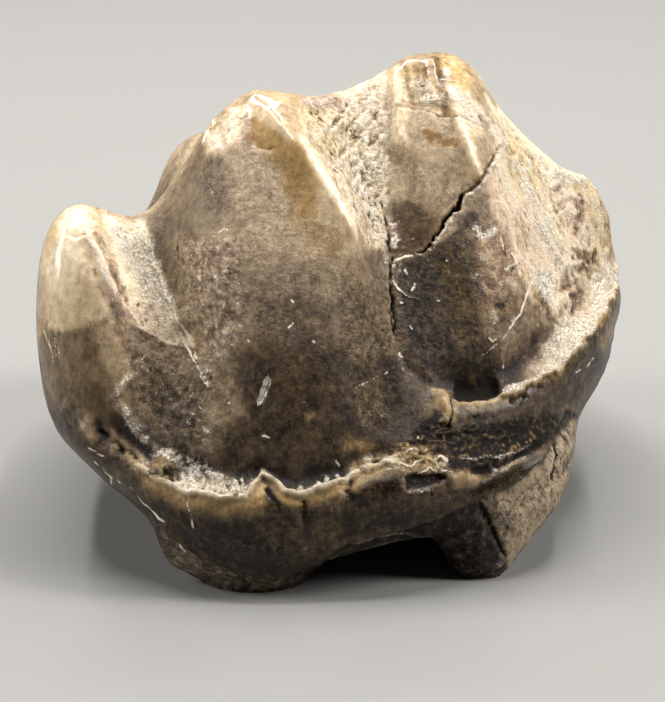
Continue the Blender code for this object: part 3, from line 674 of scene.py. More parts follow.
crust(FOOT_GRIT, 20, 0.4, 0.04, -0.25, 107)
AMBER_FLECKS = ((352, 444, 11), (366, 448, 9), (314, 416, 6))
for x, y, r in AMBER_FLECKS:
    tint(((x - r, y - r / 2), (x + r, y - r / 2), (x + r, y + r / 2), (x - r, y + r / 2)), 4, 5, 0.7, x,
         amber=1.0, tone=0.55, net=1.0)
FLANK_HAIRLINE = ((180, 212), (178, 236), (180, 262), (177, 290))
scratch(FLANK_HAIRLINE, 1.4, 0.5, 0.05, 2.5, 109, "dark")
FLANK_STREAKS = ((200, 166, 6), (205, 178, 8), (212, 190, 6), (222, 206, 12))
for x, y, tilt in FLANK_STREAKS:
    scratch(((x, y), (x + tilt, y + 16)), 1.2, 0.6, seed=110 + x)
FLANK_FLECK = ((218, 233), (224, 228), (229, 230))
scratch(FLANK_FLECK, 1.2, 1.0, seed=115)
CHIP = ((270, 370), (271, 382), (266, 394), (263, 402), (257, 407), (257, 397), (263, 382))
CHIP_MIDDLE = ((266, 372), (261, 404))
finer(CHIP_MIDDLE, 7, 0.10)
index, share = within(CHIP, 2.0, 2.0, 0.5)
lay("vein", index, share * (0.75 + 0.5 * lumps(tooth["place"][index], 0.4, 112)))
tooth["lift"][index] -= 0.14 * share
CHIP_SEAM = ((270, 374), (269, 384), (264, 394), (261, 400))
scratch(CHIP_SEAM, 0.9, 0.65, 0.06, 1.0, 113, "dark")
PARACONE_FLECKS = (((294, 321), (289, 329)), ((263, 435), (270, 437)), ((248, 340), (250, 342)),
                   ((292, 300), (294, 303)), ((228, 402), (230, 404)), ((336, 460), (340, 467)),
                   ((312, 340), (316, 343)))
for line in PARACONE_FLECKS:
    scratch(line, 1.4, 1.0, 0.04, 1.5, line[0][0])
FOOT_SCRATCH = ((354, 389), (366, 382), (380, 376), (391, 371))
scratch(FOOT_SCRATCH, 1.1, 0.6, wander=2.5, seed=117)
FOOT_SCRATCH_END = ((391, 371), (399, 362), (401, 350))
scratch(FOOT_SCRATCH_END, 1.2, 0.5, seed=118)
GROOVE_SCRATCH = ((380, 276), (388, 286), (398, 297))
scratch(GROOVE_SCRATCH, 1.2, 0.4, seed=119)
FOOT_PALE_LINE = ((343, 285), (358, 300), (380, 310), (392, 326))
scratch(FOOT_PALE_LINE, 1.8, 0.42, 0.0, 2.5, 120)
FOOT_FAINT_LINE = ((300, 402), (318, 402), (332, 412))
scratch(FOOT_FAINT_LINE, 1.2, 0.35, 0.0, 2.0, 121)

# The groove between the paracone and the metacone: a dark, gritty line with loose chalky edges,
# widest and roughest up in the saddle between the two tips.
SADDLE = ((343, 98), (352, 84), (376, 76), (388, 72), (392, 110), (390, 190), (384, 215), (368, 165),
          (352, 120))
tint(SADDLE, 4, 4, tone=0.10, dull=0.8, net=0.8, combed=0.7)
crust(SADDLE, 8, 0.6, 0.10, 0.38, 131, (1.5, 1, 0.45), 0.0)
SADDLE_FURROWS = ((345, 106), (352, 124), (356, 142), (366, 96), (372, 118), (362, 160), (376, 140),
                  (370, 176), (380, 164), (378, 194), (340, 118), (332, 126), (346, 150), (354, 178))
for number, (x, y) in enumerate(SADDLE_FURROWS):
    across = ((x + 7, y - 10), (x, y), (x - 8, y + 9))
    ridge(across, 1.6, -0.16, 3.0, 0.6, 650 + number, 0.2, dark=0.38, rust=0.4)
    beside = ((x + 11, y - 8), (x + 4, y + 1), (x - 4, y + 10))
    ridge(beside, 1.6, 0.12, 3.0, 0.6, 650 + number, 0.2, chalk=0.6)
SADDLE_PINK = ((343, 98), (352, 84), (380, 76), (372, 94), (352, 106))
tint(SADDLE_PINK, 4, 4, pink=0.7)
GROOVE = ((340, 97), (346, 106), (351, 118), (357, 140), (364, 158), (374, 182), (382, 205), (388, 228),
          (391, 252), (392, 285), (393, 310), (396, 330))
finer(GROOVE, 10, 0.14)
index, gap, share = near(GROOVE, 18, 3.5, 0.9, 135)
gritty = layered(tooth["place"][index], 0.5, 137, 2)
bite = np.exp(-((gap / 1.5) ** 2)) * smooth_step(gritty, -0.5, 0.3) * smooth_step(share, 0, 0.04)
bite *= np.interp(share, (0, 0.4, 0.6, 1), (0.45, 0.5, 1, 1))
press(index, -0.28 * bite)
lay("dark", index, 0.9 * bite)
crumbs = np.exp(-(((np.abs(gap) - 5.0) / 5.0) ** 2)) * smooth_step(gritty, 0.0, 0.6)
tooth["lift"][index] += 0.10 * crumbs
lay("chalk", index, 0.9 * crumbs * smooth_step(0.9 - share, 0, 0.3))
lay("dark", index, 0.5 * np.exp(-((gap / 7) ** 2)) * smooth_step(-gritty, 0.1, 0.5))
GROOVE_FOOT = ((394, 325), (402, 350), (414, 372), (434, 394))
ridge(GROOVE_FOOT, 5.0, -0.16, 4.0, seed=139, dark=0.45)
GROOVE_FLECKS = (((404, 348), (400, 352), (402, 357), (407, 355), (407, 349)), ((410, 325), (412, 330)),
                 ((405, 268), (408, 276)), ((402, 368), (405, 374)))
for line in GROOVE_FLECKS:
    scratch(line, 1.5, 0.9, -0.03, 1.5, line[0][1])
GROOVE_PINK_LIP = ((383, 214), (398, 222), (400, 246), (394, 256), (386, 240))
tint(GROOVE_PINK_LIP, 3, 3, pink=1.0, tone=0.34, dull=0.6)

# The metacone, the highest cusp: clear enamel over darker dentine, polished at the tip between two
# blunt edges with pale painted highlights along them, with an amber shoulder, a small rust stain and a
# hairline across it.
METACONE = ((388, 66), (402, 54), (436, 50), (470, 62), (486, 92), (496, 132), (484, 178), (458, 208),
            (436, 232), (396, 206), (390, 150))
tint(METACONE, 4, tone=0.48, net=0.4, dull=0.3)
METACONE_LIGHT = ((395, 60), (436, 52), (444, 108), (452, 150), (440, 186), (420, 180), (404, 150),
                  (394, 110))
tint(METACONE_LIGHT, 9, tone=0.40)
METACONE_CHALKY_TIP = ((446, 84), (470, 92), (486, 118), (480, 134), (468, 140), (454, 112))
tint(METACONE_CHALKY_TIP, 6, tone=0.12)
METACONE_FRONT = ((388, 92), (400, 76), (406, 130), (402, 200), (389, 200))
tint(METACONE_FRONT, 5, tone=0.40)
METACONE_POLISH = ((388, 60), (408, 46), (440, 46), (470, 58), (486, 92), (480, 150), (484, 184),
                   (466, 176), (452, 132), (440, 112), (414, 106), (402, 134), (390, 134))
tint(METACONE_POLISH, 4, 3, dull=0.0)
METACONE_AMBER_TIP = ((434, 50), (462, 56), (478, 82), (470, 92), (450, 84), (438, 70))
tint(METACONE_AMBER_TIP, 5, amber=0.9, tone=0.30)
# A painted highlight: a pale band along the metacone's front edge.
METACONE_FRONT_PAINTED_HIGHLIGHT = ((387, 74), (398, 64), (406, 84), (412, 108), (406, 134), (402, 146), (392, 140),
                      (386, 100))
tint(METACONE_FRONT_PAINTED_HIGHLIGHT, 4, 3, tone=0.22)
METACONE_TIP_GRIT = ((444, 82), (456, 84), (470, 98), (478, 118), (472, 128), (460, 112), (448, 98))
crust(METACONE_TIP_GRIT, 6, 0.4, 0.05, 0.5, 146)
# A painted highlight: a pale band along the metacone's back edge.
METACONE_BACK_PAINTED_HIGHLIGHT = ((449, 88), (456, 96), (464, 120), (474, 150), (482, 178), (476, 176), (464, 150),
                      (454, 120))
tint(METACONE_BACK_PAINTED_HIGHLIGHT, 4, 3, tone=0.12)
TIP_STRIPES = ((((404, 64), (408, 84), (415, 108)), 3.0), (((436, 60), (440, 88), (447, 114)), 5.5))
for line, half in TIP_STRIPES:
    index, gap, _ = near(line, 8, 2.5, 0.8, 145)
    stripe = smooth_step(half - np.abs(gap), 0, 3)
    blend("tone", index, 0.66, stripe)
    at_least("amber", index, 0.6 * stripe)
TIP_STAIN = ((413, 66), (428, 66), (430, 82), (418, 86))
tint(TIP_STAIN, 3, 4, 0.8, amber=0.6, tone=0.62, net=1.0)
TIP_CRUST = ((417, 80), (424, 82), (430, 92), (444, 100), (446, 107), (432, 103), (420, 104), (415, 92))
crust(TIP_CRUST, 6, 0.4, 0.06, 0.62, 148)
METACONE_FINE_LINE = ((398, 60), (402, 110), (408, 160))
finer(METACONE_FINE_LINE, 8, 0.2)
METACONE_FRONT_EDGE = ((396, 58), (397, 90), (402, 130), (408, 168))
ridge(METACONE_FRONT_EDGE, 8.0, 0.42, 0.5, edge=2.0, run=0.22)
METACONE_DULL_PATCH = ((390, 84), (404, 82), (418, 92), (416, 104), (396, 104))
tint(METACONE_DULL_PATCH, 4, 3, dull=0.55)
METACONE_TIP_EDGE = ((430, 50), (434, 80), (440, 112))
ridge(METACONE_TIP_EDGE, 6.0, 0.22, 0.5, edge=2.0, run=0.2)
METACONE_BACK_EDGE = ((446, 78), (455, 110), (466, 146), (478, 180), (484, 204))
ridge(METACONE_BACK_EDGE, 9.0, 0.50, 0.5, edge=2.0, run=0.22)
METACONE_DIP = ((426, 130), (438, 170), (450, 196))
ridge(METACONE_DIP, 12.0, -0.14)
DARK_FLAKE = ((391, 203), (402, 200), (420, 205), (436, 215), (442, 222), (430, 242), (410, 256),
              (394, 262))
tint(DARK_FLAKE, 3, 4, tone=0.76, dull=0.25, amber=0.1)
RUST_STAIN = ((420, 127), (432, 130), (446, 137), (457, 142), (452, 149), (436, 143), (424, 138))
tint(RUST_STAIN, 3, 4, 0.8, rust=0.62, amber=0.8, tone=0.46)
METACONE_HAIRLINE = ((382, 110), (396, 109), (410, 109), (424, 110), (440, 117), (458, 120), (470, 124),
                     (484, 128))
scratch(METACONE_HAIRLINE, 1.0, 0.75, 0.04, 1.5, 151, "dark")
METACONE_STREAK = ((423, 168), (427, 182), (436, 206))
scratch(METACONE_STREAK, 1.4, 0.45, 0.0, 1.5, 152)
PINK_SHOULDER = ((478, 114), (490, 126), (498, 142), (488, 152), (482, 134))
tint(PINK_SHOULDER, 3, 3, pink=1.0, tone=0.36)
SHOULDER_CRUST = ((470, 100), (484, 112), (500, 136), (490, 140), (474, 118))
crust(SHOULDER_CRUST, 6, 0.8, 0.06, 0.35, 153)

# The open crack across the metacone, gaping at its upper end, brown with matrix there and painted black
# inside further down as painted shade, with a crumbled chalky lip below it. Under it the enamel is dark
# and mottled, and a thin old crack curves down to the rim.
BELOW_CRACK = ((396, 264), (440, 244), (474, 208), (500, 172), (508, 190), (502, 222), (482, 244),
               (474, 300), (490, 345), (506, 384), (456, 404), (424, 384), (400, 332))
tint(BELOW_CRACK, 6, tone=0.90, net=0.8, dull=0.35)
PALE_CORNER = ((478, 190), (500, 166), (511, 200), (508, 244), (498, 232), (490, 212))
tint(PALE_CORNER, 5, 6, tone=0.17, dull=0.3, pink=0.9)
CORNER_SHADE = ((466, 204), (486, 196), (500, 232), (486, 226))
tint(CORNER_SHADE, 5, 5, tone=0.62)
HOOKED_CRUST = ((472, 220), (480, 228), (490, 230), (498, 222), (502, 226), (494, 236), (482, 240),
                (472, 234))
crust(HOOKED_CRUST, 3, 0.35, 0.08, 0.72, 147)
AMBER_CORNER = ((474, 236), (496, 234), (502, 256), (488, 268), (474, 258))
tint(AMBER_CORNER, 6, 6, amber=0.9, tone=0.50, pink=0.5)
DARKEST_FOOT = ((428, 330), (480, 318), (506, 380), (470, 398), (440, 384))
tint(DARKEST_FOOT, 15, tone=0.95, dull=0.3)
BROWN_PATCH = ((470, 234), (504, 230), (518, 262), (524, 300), (516, 330), (492, 332), (474, 290))
tint(BROWN_PATCH, 9, 9, 1.0, tone=0.42, amber=0.5, net=1.0, pink=0.8)
crust(BROWN_PATCH, 16, 0.7, 0.09, -0.02, 154)
WARM_MIDDLE = ((440, 250), (476, 240), (480, 300), (470, 350), (446, 340), (432, 290))
tint(WARM_MIDDLE, 12, 10, tone=0.83, amber=0.8, net=1.0)
PINK_MOTTLE = ((500, 290), (528, 300), (530, 340), (506, 360), (494, 330))
tint(PINK_MOTTLE, 8, 8, tone=0.62, pink=0.6, net=1.0)
MAIN_CRACK = ((503, 145), (496, 151), (491, 161), (484, 173), (476, 184), (467, 193), (461, 197),
              (458, 206), (450, 214), (443, 222), (440, 232), (434, 239), (428, 247), (419, 252),
              (407, 256), (394, 262))
finer(MAIN_CRACK, 9, 0.12)
index, gap, share = near(MAIN_CRACK, 20, 2.5, 0.7, 155)
jagged = layered(tooth["place"][index], 0.45, 156, 2)
CRACK_ALONG = (0, 0.1, 0.35, 0.5, 0.7, 0.84, 1)
CRACK_HALF_WIDTHS = (1.0, 1.7, 1.6, 2.0, 1.5, 0.7, 0.4)
half = np.interp(share, CRACK_ALONG, CRACK_HALF_WIDTHS) * (1 + 0.9 * jagged)
open_part = smooth_step(half - np.abs(gap + 1.2 * jagged), -0.6, 0.8) * smooth_step(0.9 - share, 0, 0.06)
press(index, -np.interp(share, (0, 0.36, 0.46), (0.08, 0.16, 0.55)) * open_part)
# Painted shade inside the open part: light at the upper end, where brown matrix fills it, and black further
# down.
lay("dark", index, open_part * np.interp(share, (0, 0.34, 0.45, 1), (0.40, 0.46, 1.1, 1.1)))
blend("tone", index, 0.66, open_part)
edge = np.exp(-(((np.abs(gap) - half - 1.0) / 1.6) ** 2)) * smooth_step(0.86 - share, 0, 0.1)
lay("rust", index, 0.5 * edge)
lip = np.exp(-(((-gap - half - 1.7) / 1.7) ** 2)) * smooth_step(0.9 - share, 0, 0.1)
crumbled = layered(tooth["place"][index], 0.45, 157, 2)
tooth["lift"][index] += lip * (0.06 + 0.20 * crumbled)
lay("chalk", index, lip * (0.72 + 0.9 * crumbled))
lay("vein", index, 0.9 * np.exp(-((gap / 1.6) ** 2)) * smooth_step(share, 0.84, 0.9))
CRACK_BRANCH = ((391, 262), (392, 285), (391, 310), (394, 336))
scratch(CRACK_BRANCH, 2.0, 1.0, 0.25, 3.0, 159, "dark")
HOOKED_VEIN = ((395, 262), (392, 272), (395, 284), (402, 292), (410, 297), (419, 300))
scratch(HOOKED_VEIN, 1.6, 1.0, -0.05, 2.2, 161)
VEIN_FLECK = ((416, 283), (414, 287), (411, 292))
scratch(VEIN_FLECK, 2.6, 0.8, -0.05, 2.5, 162)
METACONE_FLECKS = (((400, 302), (403, 303)), ((401, 250), (404, 246)), ((410, 240), (414, 238)),
                   ((430, 266), (432, 268)), ((447, 260), (448, 263)), ((436, 300), (440, 302)),
                   ((497, 228), (501, 240), (505, 252)), ((505, 271), (514, 265), (524, 256)),
                   ((512, 252), (515, 260), (518, 268)), ((487, 336), (493, 342), (497, 338)),
                   ((502, 352), (501, 360), (504, 368)))
for line in METACONE_FLECKS:
    scratch(line, 1.4, 0.95, -0.05, 2.2, line[0][0] + 1)
OLD_CRACK = ((535, 262), (532, 280), (526, 300), (521, 314), (514, 322), (505, 336), (494, 347), (478, 358))
scratch(OLD_CRACK, 1.5, 1.0, 0.03, 1.2, 172)

# The metastyle wing at the back corner: pale, pinkish enamel and dentine worn to a matt, streaky
# and pitted surface, with a bright broken edge.
WING = ((484, 96), (520, 126), (560, 168), (600, 182), (616, 240), (626, 286), (600, 300), (562, 326),
        (540, 310), (520, 268), (504, 214), (496, 150))
tint(WING, 5, 5, tone=-0.07, dull=0.75, amber=0.15, net=1.0, combed=1.0, pink=0.2)
crust(WING, 12, 1.3, 0.16, 0.10, 181, (1.4, 1.4, 0.6), 0.2)
index, share = within(WING, 12, 4)
swept = tooth["place"][index] @ np.array(((1.0, 0.0, 0.42), (0.0, 1.0, 0.0), (0.55, 0.0, 0.34)))
rolling = layered(swept, 1.1, 182, 4)
tooth["lift"][index] += 0.16 * share * rolling
tooth["tone"][index] += share * (0.02 - 0.5 * rolling)
for paint, seed in (("pink", 183), ("amber", 185)):
    blush = smooth_step(layered(swept, 1.7, seed), 0.0, 0.4) * share
    at_least(paint, index, blush)
lay("chalk", index, share * np.clip(0.9 * rolling, 0, 0.5))
WING_CRUSTS = ((((506, 150), (530, 160), (560, 215), (566, 262), (552, 270), (530, 215)), 184),
               (((536, 262), (556, 270), (560, 296), (546, 300), (534, 284)), 187),
               (((524, 140), (566, 172), (590, 190), (560, 186), (530, 160)), 190))
for corners, seed in WING_CRUSTS:
    crust(corners, 8, 0.6, 0.08, 0.42, seed, (1.6, 1.6, 0.5), 0.3)
WING_PINK = ((506, 205), (532, 200), (542, 250), (532, 300), (516, 262))
tint(WING_PINK, 7, 7, pink=1.0, tone=0.04)
WING_ORANGE = ((508, 218), (526, 212), (534, 245), (520, 256))
tint(WING_ORANGE, 5, 6, amber=0.8, tone=0.14, pink=0.8)
WING_CHALK = ((536, 270), (552, 274), (557, 296), (544, 300), (536, 286))
tint(WING_CHALK, 3, 4, tone=-0.2, chalk=0.9, amber=0.0, pink=0.0)
WING_RED_SPOT = ((578, 212), (592, 206), (594, 240), (580, 244))
tint(WING_RED_SPOT, 4, 5, tone=0.42, pink=0.9)
WING_AMBER = ((504, 146), (520, 146), (538, 176), (530, 186), (510, 176))
tint(WING_AMBER, 6, 6, amber=1.0, tone=0.10)
WING_BACK_PINK = ((562, 196), (596, 192), (600, 250), (572, 262))
tint(WING_BACK_PINK, 8, 8, pink=0.9, tone=0.04)
WING_BACK_SHADE = ((573, 198), (582, 194), (584, 232), (575, 236))
tint(WING_BACK_SHADE, 3, 4, tone=0.36, pink=0.8)
WING_FOOT_SHADE = ((536, 284), (548, 290), (552, 324), (536, 330))
tint(WING_FOOT_SHADE, 5, 5, tone=0.60, net=1.0)
WING_FOOT = ((560, 262), (606, 256), (608, 296), (576, 322), (556, 318))
tint(WING_FOOT, 8, 8, tone=0.28, amber=0.4, combed=0.3)
WING_FOOT_CRUST = ((560, 250), (608, 246), (612, 290), (576, 326), (552, 326))
crust(WING_FOOT_CRUST, 12, 0.8, 0.24, 0.22, 193, hollow_shade=0.3)
WING_BROWN_HOLLOW = ((574, 250), (596, 248), (600, 264), (582, 272))
tint(WING_BROWN_HOLLOW, 3, 6, 0.9, 194, tone=0.52, net=1.0, chalk=0.0)
WING_OLIVE_HOLLOW = ((570, 293), (586, 288), (592, 304), (576, 316))
tint(WING_OLIVE_HOLLOW, 3, 6, 0.9, 195, tone=0.74, amber=0.8, net=1.0, chalk=0.0)
WING_CRYSTALS = ((537, 270), (551, 274), (558, 294), (546, 300), (536, 287))
crust(WING_CRYSTALS, 4, 0.4, 0.09, 0.90, 188, hollow_shade=0.2)
# The dark paint in these small pits is painted shade.
WING_PITS = ((575, 308, 4), (566, 287, 2.4), (560, 187, 2.4), (600, 279, 2.2))
for x, y, r in WING_PITS:
    ridge(((x - 7, y + 4), (x, y), (x + 8, y - 3)), r, -0.20, 5.0, 0.5, x, 0.2, dark=0.4, amber=0.8)
WING_RIPPLES = (((545, 188), (562, 184), (574, 187)), ((552, 200), (570, 197), (590, 203)),
                ((556, 214), (572, 209), (584, 214)), ((592, 190), (599, 214), (604, 246)),
                ((550, 176), (566, 174), (578, 178)), ((560, 266), (580, 262), (606, 270)))
for number, line in enumerate(WING_RIPPLES):
    ridge(line, 2.4, 0.11, 5.0, 0.7, 220 + number, 0.2, chalk=0.6)
WING_STREAKS = (((526, 206), (536, 224), (548, 240), (558, 262), (562, 284)),
                ((508, 150), (522, 172), (532, 196), (538, 214)), ((546, 170), (566, 176), (588, 184)),
                ((575, 184), (590, 178), (602, 190)))
for number, line in enumerate(WING_STREAKS):
    ridge(line, 4.0, 0.16, 4.0, 0.8, seed=210 + number, chalk=0.85)

# The neck: smooth, swollen enamel below the rim, painted nearly black, partly its stain and partly
# painted shade under the rim, scratched at the front corner, down to its edge over the roots.
NECK_TOP = ((56, 408), (78, 444), (110, 466), (150, 488), (190, 500), (245, 504), (270, 494), (310, 502),
            (350, 490), (400, 474), (404, 494), (440, 490), (480, 486), (548, 452))
NECK_EDGE = ((556, 432), (542, 462), (510, 486), (478, 500), (440, 516), (410, 528), (380, 535),
             (345, 545), (330, 556), (300, 572), (270, 578), (240, 573), (210, 561), (180, 545),
             (158, 523))
NECK = NECK_TOP + NECK_EDGE + ((100, 484), (72, 452))
# Stain and painted shade: the neck is painted nearly black.
tint(NECK, 5, 3, tone=0.98, dull=0.15, amber=0.3, net=0.5)
NECK_MOTTLE = ((250, 510), (300, 512), (340, 504), (346, 536), (310, 556), (270, 544))
tint(NECK_MOTTLE, 11, 9, tone=0.82, net=1.0, dull=0.35)
NECK_BACK_MOTTLE = ((345, 498), (400, 500), (400, 525), (350, 535))
tint(NECK_BACK_MOTTLE, 9, 8, tone=0.93, net=0.8, dull=0.4)
NECK_PINK_MOTTLE = ((405, 494), (466, 488), (476, 498), (440, 506), (408, 510))
tint(NECK_PINK_MOTTLE, 7, 8, tone=0.82, net=0.8, dull=0.4, pink=0.4)
NECK_FRONT = ((60, 410), (90, 440), (130, 470), (165, 500), (150, 506), (100, 476), (72, 450))
tint(NECK_FRONT, 5, 4, tone=0.90)
NECK_SCRATCHES = (((88, 448), (98, 453), (108, 456)), ((94, 461), (104, 472), (114, 480), (122, 484)),
                  ((110, 475), (112, 484)), ((119, 459), (124, 463)), ((129, 466), (137, 470)),
                  ((128, 486), (138, 498), (148, 507), (158, 516), (166, 523)), ((100, 468), (106, 470)))
for line in NECK_SCRATCHES:
    scratch(line, 1.1, 0.85, 0.03, 1.6, line[0][0] + 2)
index, gap, _ = near(NECK_EDGE, 26, 2.5, 1.2, 325)
below = smooth_step(-gap, -1.0, 1.0)
blend("root", index, below, tooth["shown"][index])
press(index, 0.14 * np.exp(-(((gap - 3) / 4.0) ** 2)))
press(index, -0.14 * below)
ROOTS_EDGE = ((556, 432), (584, 414), (576, 470), (535, 540), (512, 586), (455, 588), (440, 562),
              (430, 545), (345, 552), (300, 594), (240, 602), (190, 592), (148, 560), (154, 523))
index, share = within(ROOTS_EDGE + NECK_EDGE[::-1][1:-1], 3)
at_least("root", index, share)

# The broken root stubs: dull, fibrous dentine and cement, split along their length, paler on the
# break that faces back, the front stub painted darker as painted shade, and the back stub painted
# darkest as painted shade in the arch between them.
root, place = tooth["root"], tooth["place"]
threads = place * (1.8, 1.8, 0.4)
tooth["lift"] += root * (0.08 * layered(threads, 0.8, 331) + 0.08 * layered(place, 1.6, 335))
tooth["tone"] += (0.80 + 0.18 * layered(threads, 1.4, 337) - tooth["tone"]) * root
tooth["dull"] = np.maximum(tooth["dull"], 0.9 * root)
tooth["pitted"] = np.maximum(tooth["pitted"], 0.6 * root)
# Painted shade: the front stub is painted darker where it lies in shadow near the floor.
FRONT_STUB_SHADE = ((158, 524), (182, 546), (212, 562), (242, 575), (272, 579), (304, 574), (302, 592),
              (240, 600), (198, 588), (172, 566), (156, 545))
tint(FRONT_STUB_SHADE, 3, 3, tone=0.71, net=0.9, pink=0.5)
STUB_SWELL_PLACE = (-11.5, -16.8, 2.2)
STUB_SWELL_SIZE = (2.6, 3.0, 1.8)
swell = (place - STUB_SWELL_PLACE) / STUB_SWELL_SIZE
tooth["lift"] += 0.8 * root * np.exp(-(swell**2).sum(axis=1))
# Painted shade: the back stub beside the arch is painted nearly black.
BACK_STUB_SHADE = ((345, 550), (400, 532), (440, 520), (478, 504), (500, 545), (510, 586), (452, 588), (430, 550))
tint(BACK_STUB_SHADE, 4, 3, tone=0.95, net=0.8)
BREAK = ((480, 500), (510, 488), (542, 464), (558, 432), (584, 414), (576, 468), (540, 534), (510, 574),
         (496, 532))
tint(BREAK, 3, 4, tone=0.24, net=0.9, fibre=1.1, pink=0.8)
crust(BREAK, 6, 1.0, 0.12, -0.3, 341, (1.6, 1.6, 0.4), 0.0)
BREAK_SHADE = ((520, 500), (560, 440), (584, 418), (576, 466), (540, 530))
tint(BREAK_SHADE, 8, 8, tone=0.38, net=1.0)
BREAK_CORNER_SHADE = ((484, 502), (500, 494), (512, 520), (506, 556), (496, 536))
tint(BREAK_CORNER_SHADE, 5, 5, tone=0.62)
BREAK_TOP_SHADE = ((556, 430), (586, 410), (580, 450), (562, 486), (560, 460))
tint(BREAK_TOP_SHADE, 3, 4, strength=0.6, tone=0.60)
STUB_SPLIT = ((479, 500), (486, 514), (496, 536), (507, 562))
ridge(STUB_SPLIT, 2.0, -0.34, 1.5, 0.6, seed=343, dark=1.0)
BREAK_SPLIT = ((556, 436), (559, 458), (552, 486))
ridge(BREAK_SPLIT, 2.2, -0.30, 2.0, 0.6, seed=344, dark=0.8)
ARCH_EDGE = ((345, 546), (380, 537), (402, 533), (430, 542), (440, 560))
ridge(ARCH_EDGE, 2.2, 0.12, 1.0, seed=345, vein=0.42)
STUB_FOOT_STAIN = ((452, 562), (508, 562), (512, 588), (452, 590))
tint(STUB_FOOT_STAIN, 5, 4, rust=0.40, tone=0.86)
STUB_FOOT = ((384, 552), (440, 552), (506, 558), (510, 586), (448, 590), (392, 580))
crust(STUB_FOOT, 5, 0.7, 0.16, -0.1, 346, hollow_shade=0.4)
ROOT_SCRATCHES = (((494, 504), (502, 500), (511, 504)), ((160, 534), (176, 556), (190, 568), (202, 580)),
                  ((166, 530), (190, 554), (216, 572), (250, 584)), ((216, 566), (250, 580), (290, 580)),
                  ((500, 540), (520, 508), (545, 474)), ((512, 545), (530, 514), (552, 480)),
                  ((520, 480), (540, 462)), ((505, 520), (524, 492)))
for line in ROOT_SCRATCHES:
    scratch(line, 1.4, 0.5, 0.08, 2.0, line[0][1] + 3)

# The back part of the cheek rim: a chalky shelf behind a bright crest, the crest's face clear olive
# enamel, and a deep pit painted nearly black as painted shade where the rim starts under the metacone.
BACK_CREST = ((438, 390), (448, 398), (458, 404), (470, 407), (490, 403), (502, 397), (517, 391),
              (533, 383), (554, 372), (571, 356), (589, 335), (606, 308), (619, 285))
finer(BACK_CREST, 12, 0.16)
BELOW_BACK_CREST = ((456, 408), (505, 400), (548, 376), (580, 340), (616, 298), (630, 300), (604, 362),
                    (580, 404), (562, 434), (528, 426), (480, 430), (456, 428))
tint(BELOW_BACK_CREST, 3, 2, tone=0.86, dull=0.35, net=0.8)
BACK_CREST_GLOW = ((590, 340), (618, 296), (628, 300), (606, 352))
tint(BACK_CREST_GLOW, 4, 4, amber=0.9, tone=0.50)
index, gap, share = near(BACK_CREST, 46, 5.0, 1.0, 221)
waves = layered(tooth["place"][index], 1.1, 223)
crest = np.exp(-((gap / 2.3) ** 2)) * smooth_step(share, 0, 0.06) * smooth_step(1 - share, 0, 0.06)
press(index, crest * (0.24 + 0.30 * waves))
shelf = smooth_step(-gap, 0, 4) * smooth_step(40 + gap, 0, 26) * smooth_step(share, 0.36, 0.6)
press(index, shelf * (-0.12 + 0.26 * waves))
lay("chalk", index, shelf * (0.74 + 0.7 * waves))
lay("pitted", index, shelf)
at_least("dull", index, 0.8 * shelf)
blend("tone", index, 0.12, shelf * 0.9)
lay("chalk", index, 0.8 * np.exp(-(((gap + 3) / 3.0) ** 2)) * smooth_step(share, 0.08, 0.2))
face = smooth_step(gap, -3, 2) * smooth_step(20 - gap, 0, 12)
at_least("amber", index, 0.7 * face)
olive = np.interp(gap, (-3, 0, 3, 8, 20), (0.02, 0.28, 0.68, 0.88, 0.97)) + 0.16 * waves
blend("tone", index, olive, face * 0.95)
blend("dull", index, 0.15, face)
# Painted shade: the deep pit is painted nearly black, darkest on its floor.
SHADED_PIT = ((444, 384), (466, 372), (500, 376), (504, 392), (486, 400), (460, 402))
tint(SHADED_PIT, 5, 3, tone=1.0, chalk=0.0, amber=0.4)
SHADED_PIT_FLOOR = ((452, 390), (476, 392), (500, 385))
ridge(SHADED_PIT_FLOOR, 8.0, -0.60, 2.0, seed=226, dark=0.6)
PIT_LIP = ((434, 388), (442, 398), (448, 412), (446, 426))
ridge(PIT_LIP, 6.0, 0.34, 2.0, seed=227)
PIT_LIP_CLEAR = ((432, 386), (448, 392), (458, 408), (454, 428), (440, 422), (434, 404))
tint(PIT_LIP_CLEAR, 4, 3, tone=0.50, amber=0.4, dull=0.1)
LIP_CRACK = ((449, 396), (452, 408), (451, 420), (448, 428))
scratch(LIP_CRACK, 2.0, 1.0, 0.25, 2.0, 231, "dark")
CREST_DENTS = ((524, 397), (511, 402), (540, 388))
for x, y in CREST_DENTS:
    ridge(((x - 2, y), (x + 3, y - 2)), 3.5, -0.14, 2.0, 0.6, seed=x, run=0.01, dark=0.6)
CREST_SCRATCH = ((576, 373), (588, 366), (595, 357))
scratch(CREST_SCRATCH, 1.3, 0.9, seed=235)

# The rough step between the two parts of the rim: a broken band of dark matrix with golden fibres,
# a deep purple recess with a bright lip, and a clear bump beside it.
ROUGH = ((384, 448), (410, 440), (436, 412), (452, 428), (500, 420), (548, 414), (562, 424), (548, 446),
         (520, 458), (484, 478), (452, 468), (420, 466), (388, 464))
tint(ROUGH, 6, 8, tone=1.0, dull=0.6, amber=0.4)
ROUGH_MIDDLE = ((400, 452), (450, 445), (500, 440), (545, 430))
finer(ROUGH_MIDDLE, 22, 0.18)
index, share = within(ROUGH, 8, 4)
fibres = tooth["place"][index] * (0.7, 0.7, 1.8)
cords = 1 - np.abs(layered(fibres, 0.42, 241, 2)) * 3.4
tooth["lift"][index] += share * (0.13 * np.clip(cords, -0.4, 1) + 0.08 * layered(fibres, 0.5, 243, 2) - 0.06)
lay("net", index, share)
lay("pitted", index, share)
bundles = smooth_step(layered(fibres, 1.8, 244, 2), -0.4, 0.5)
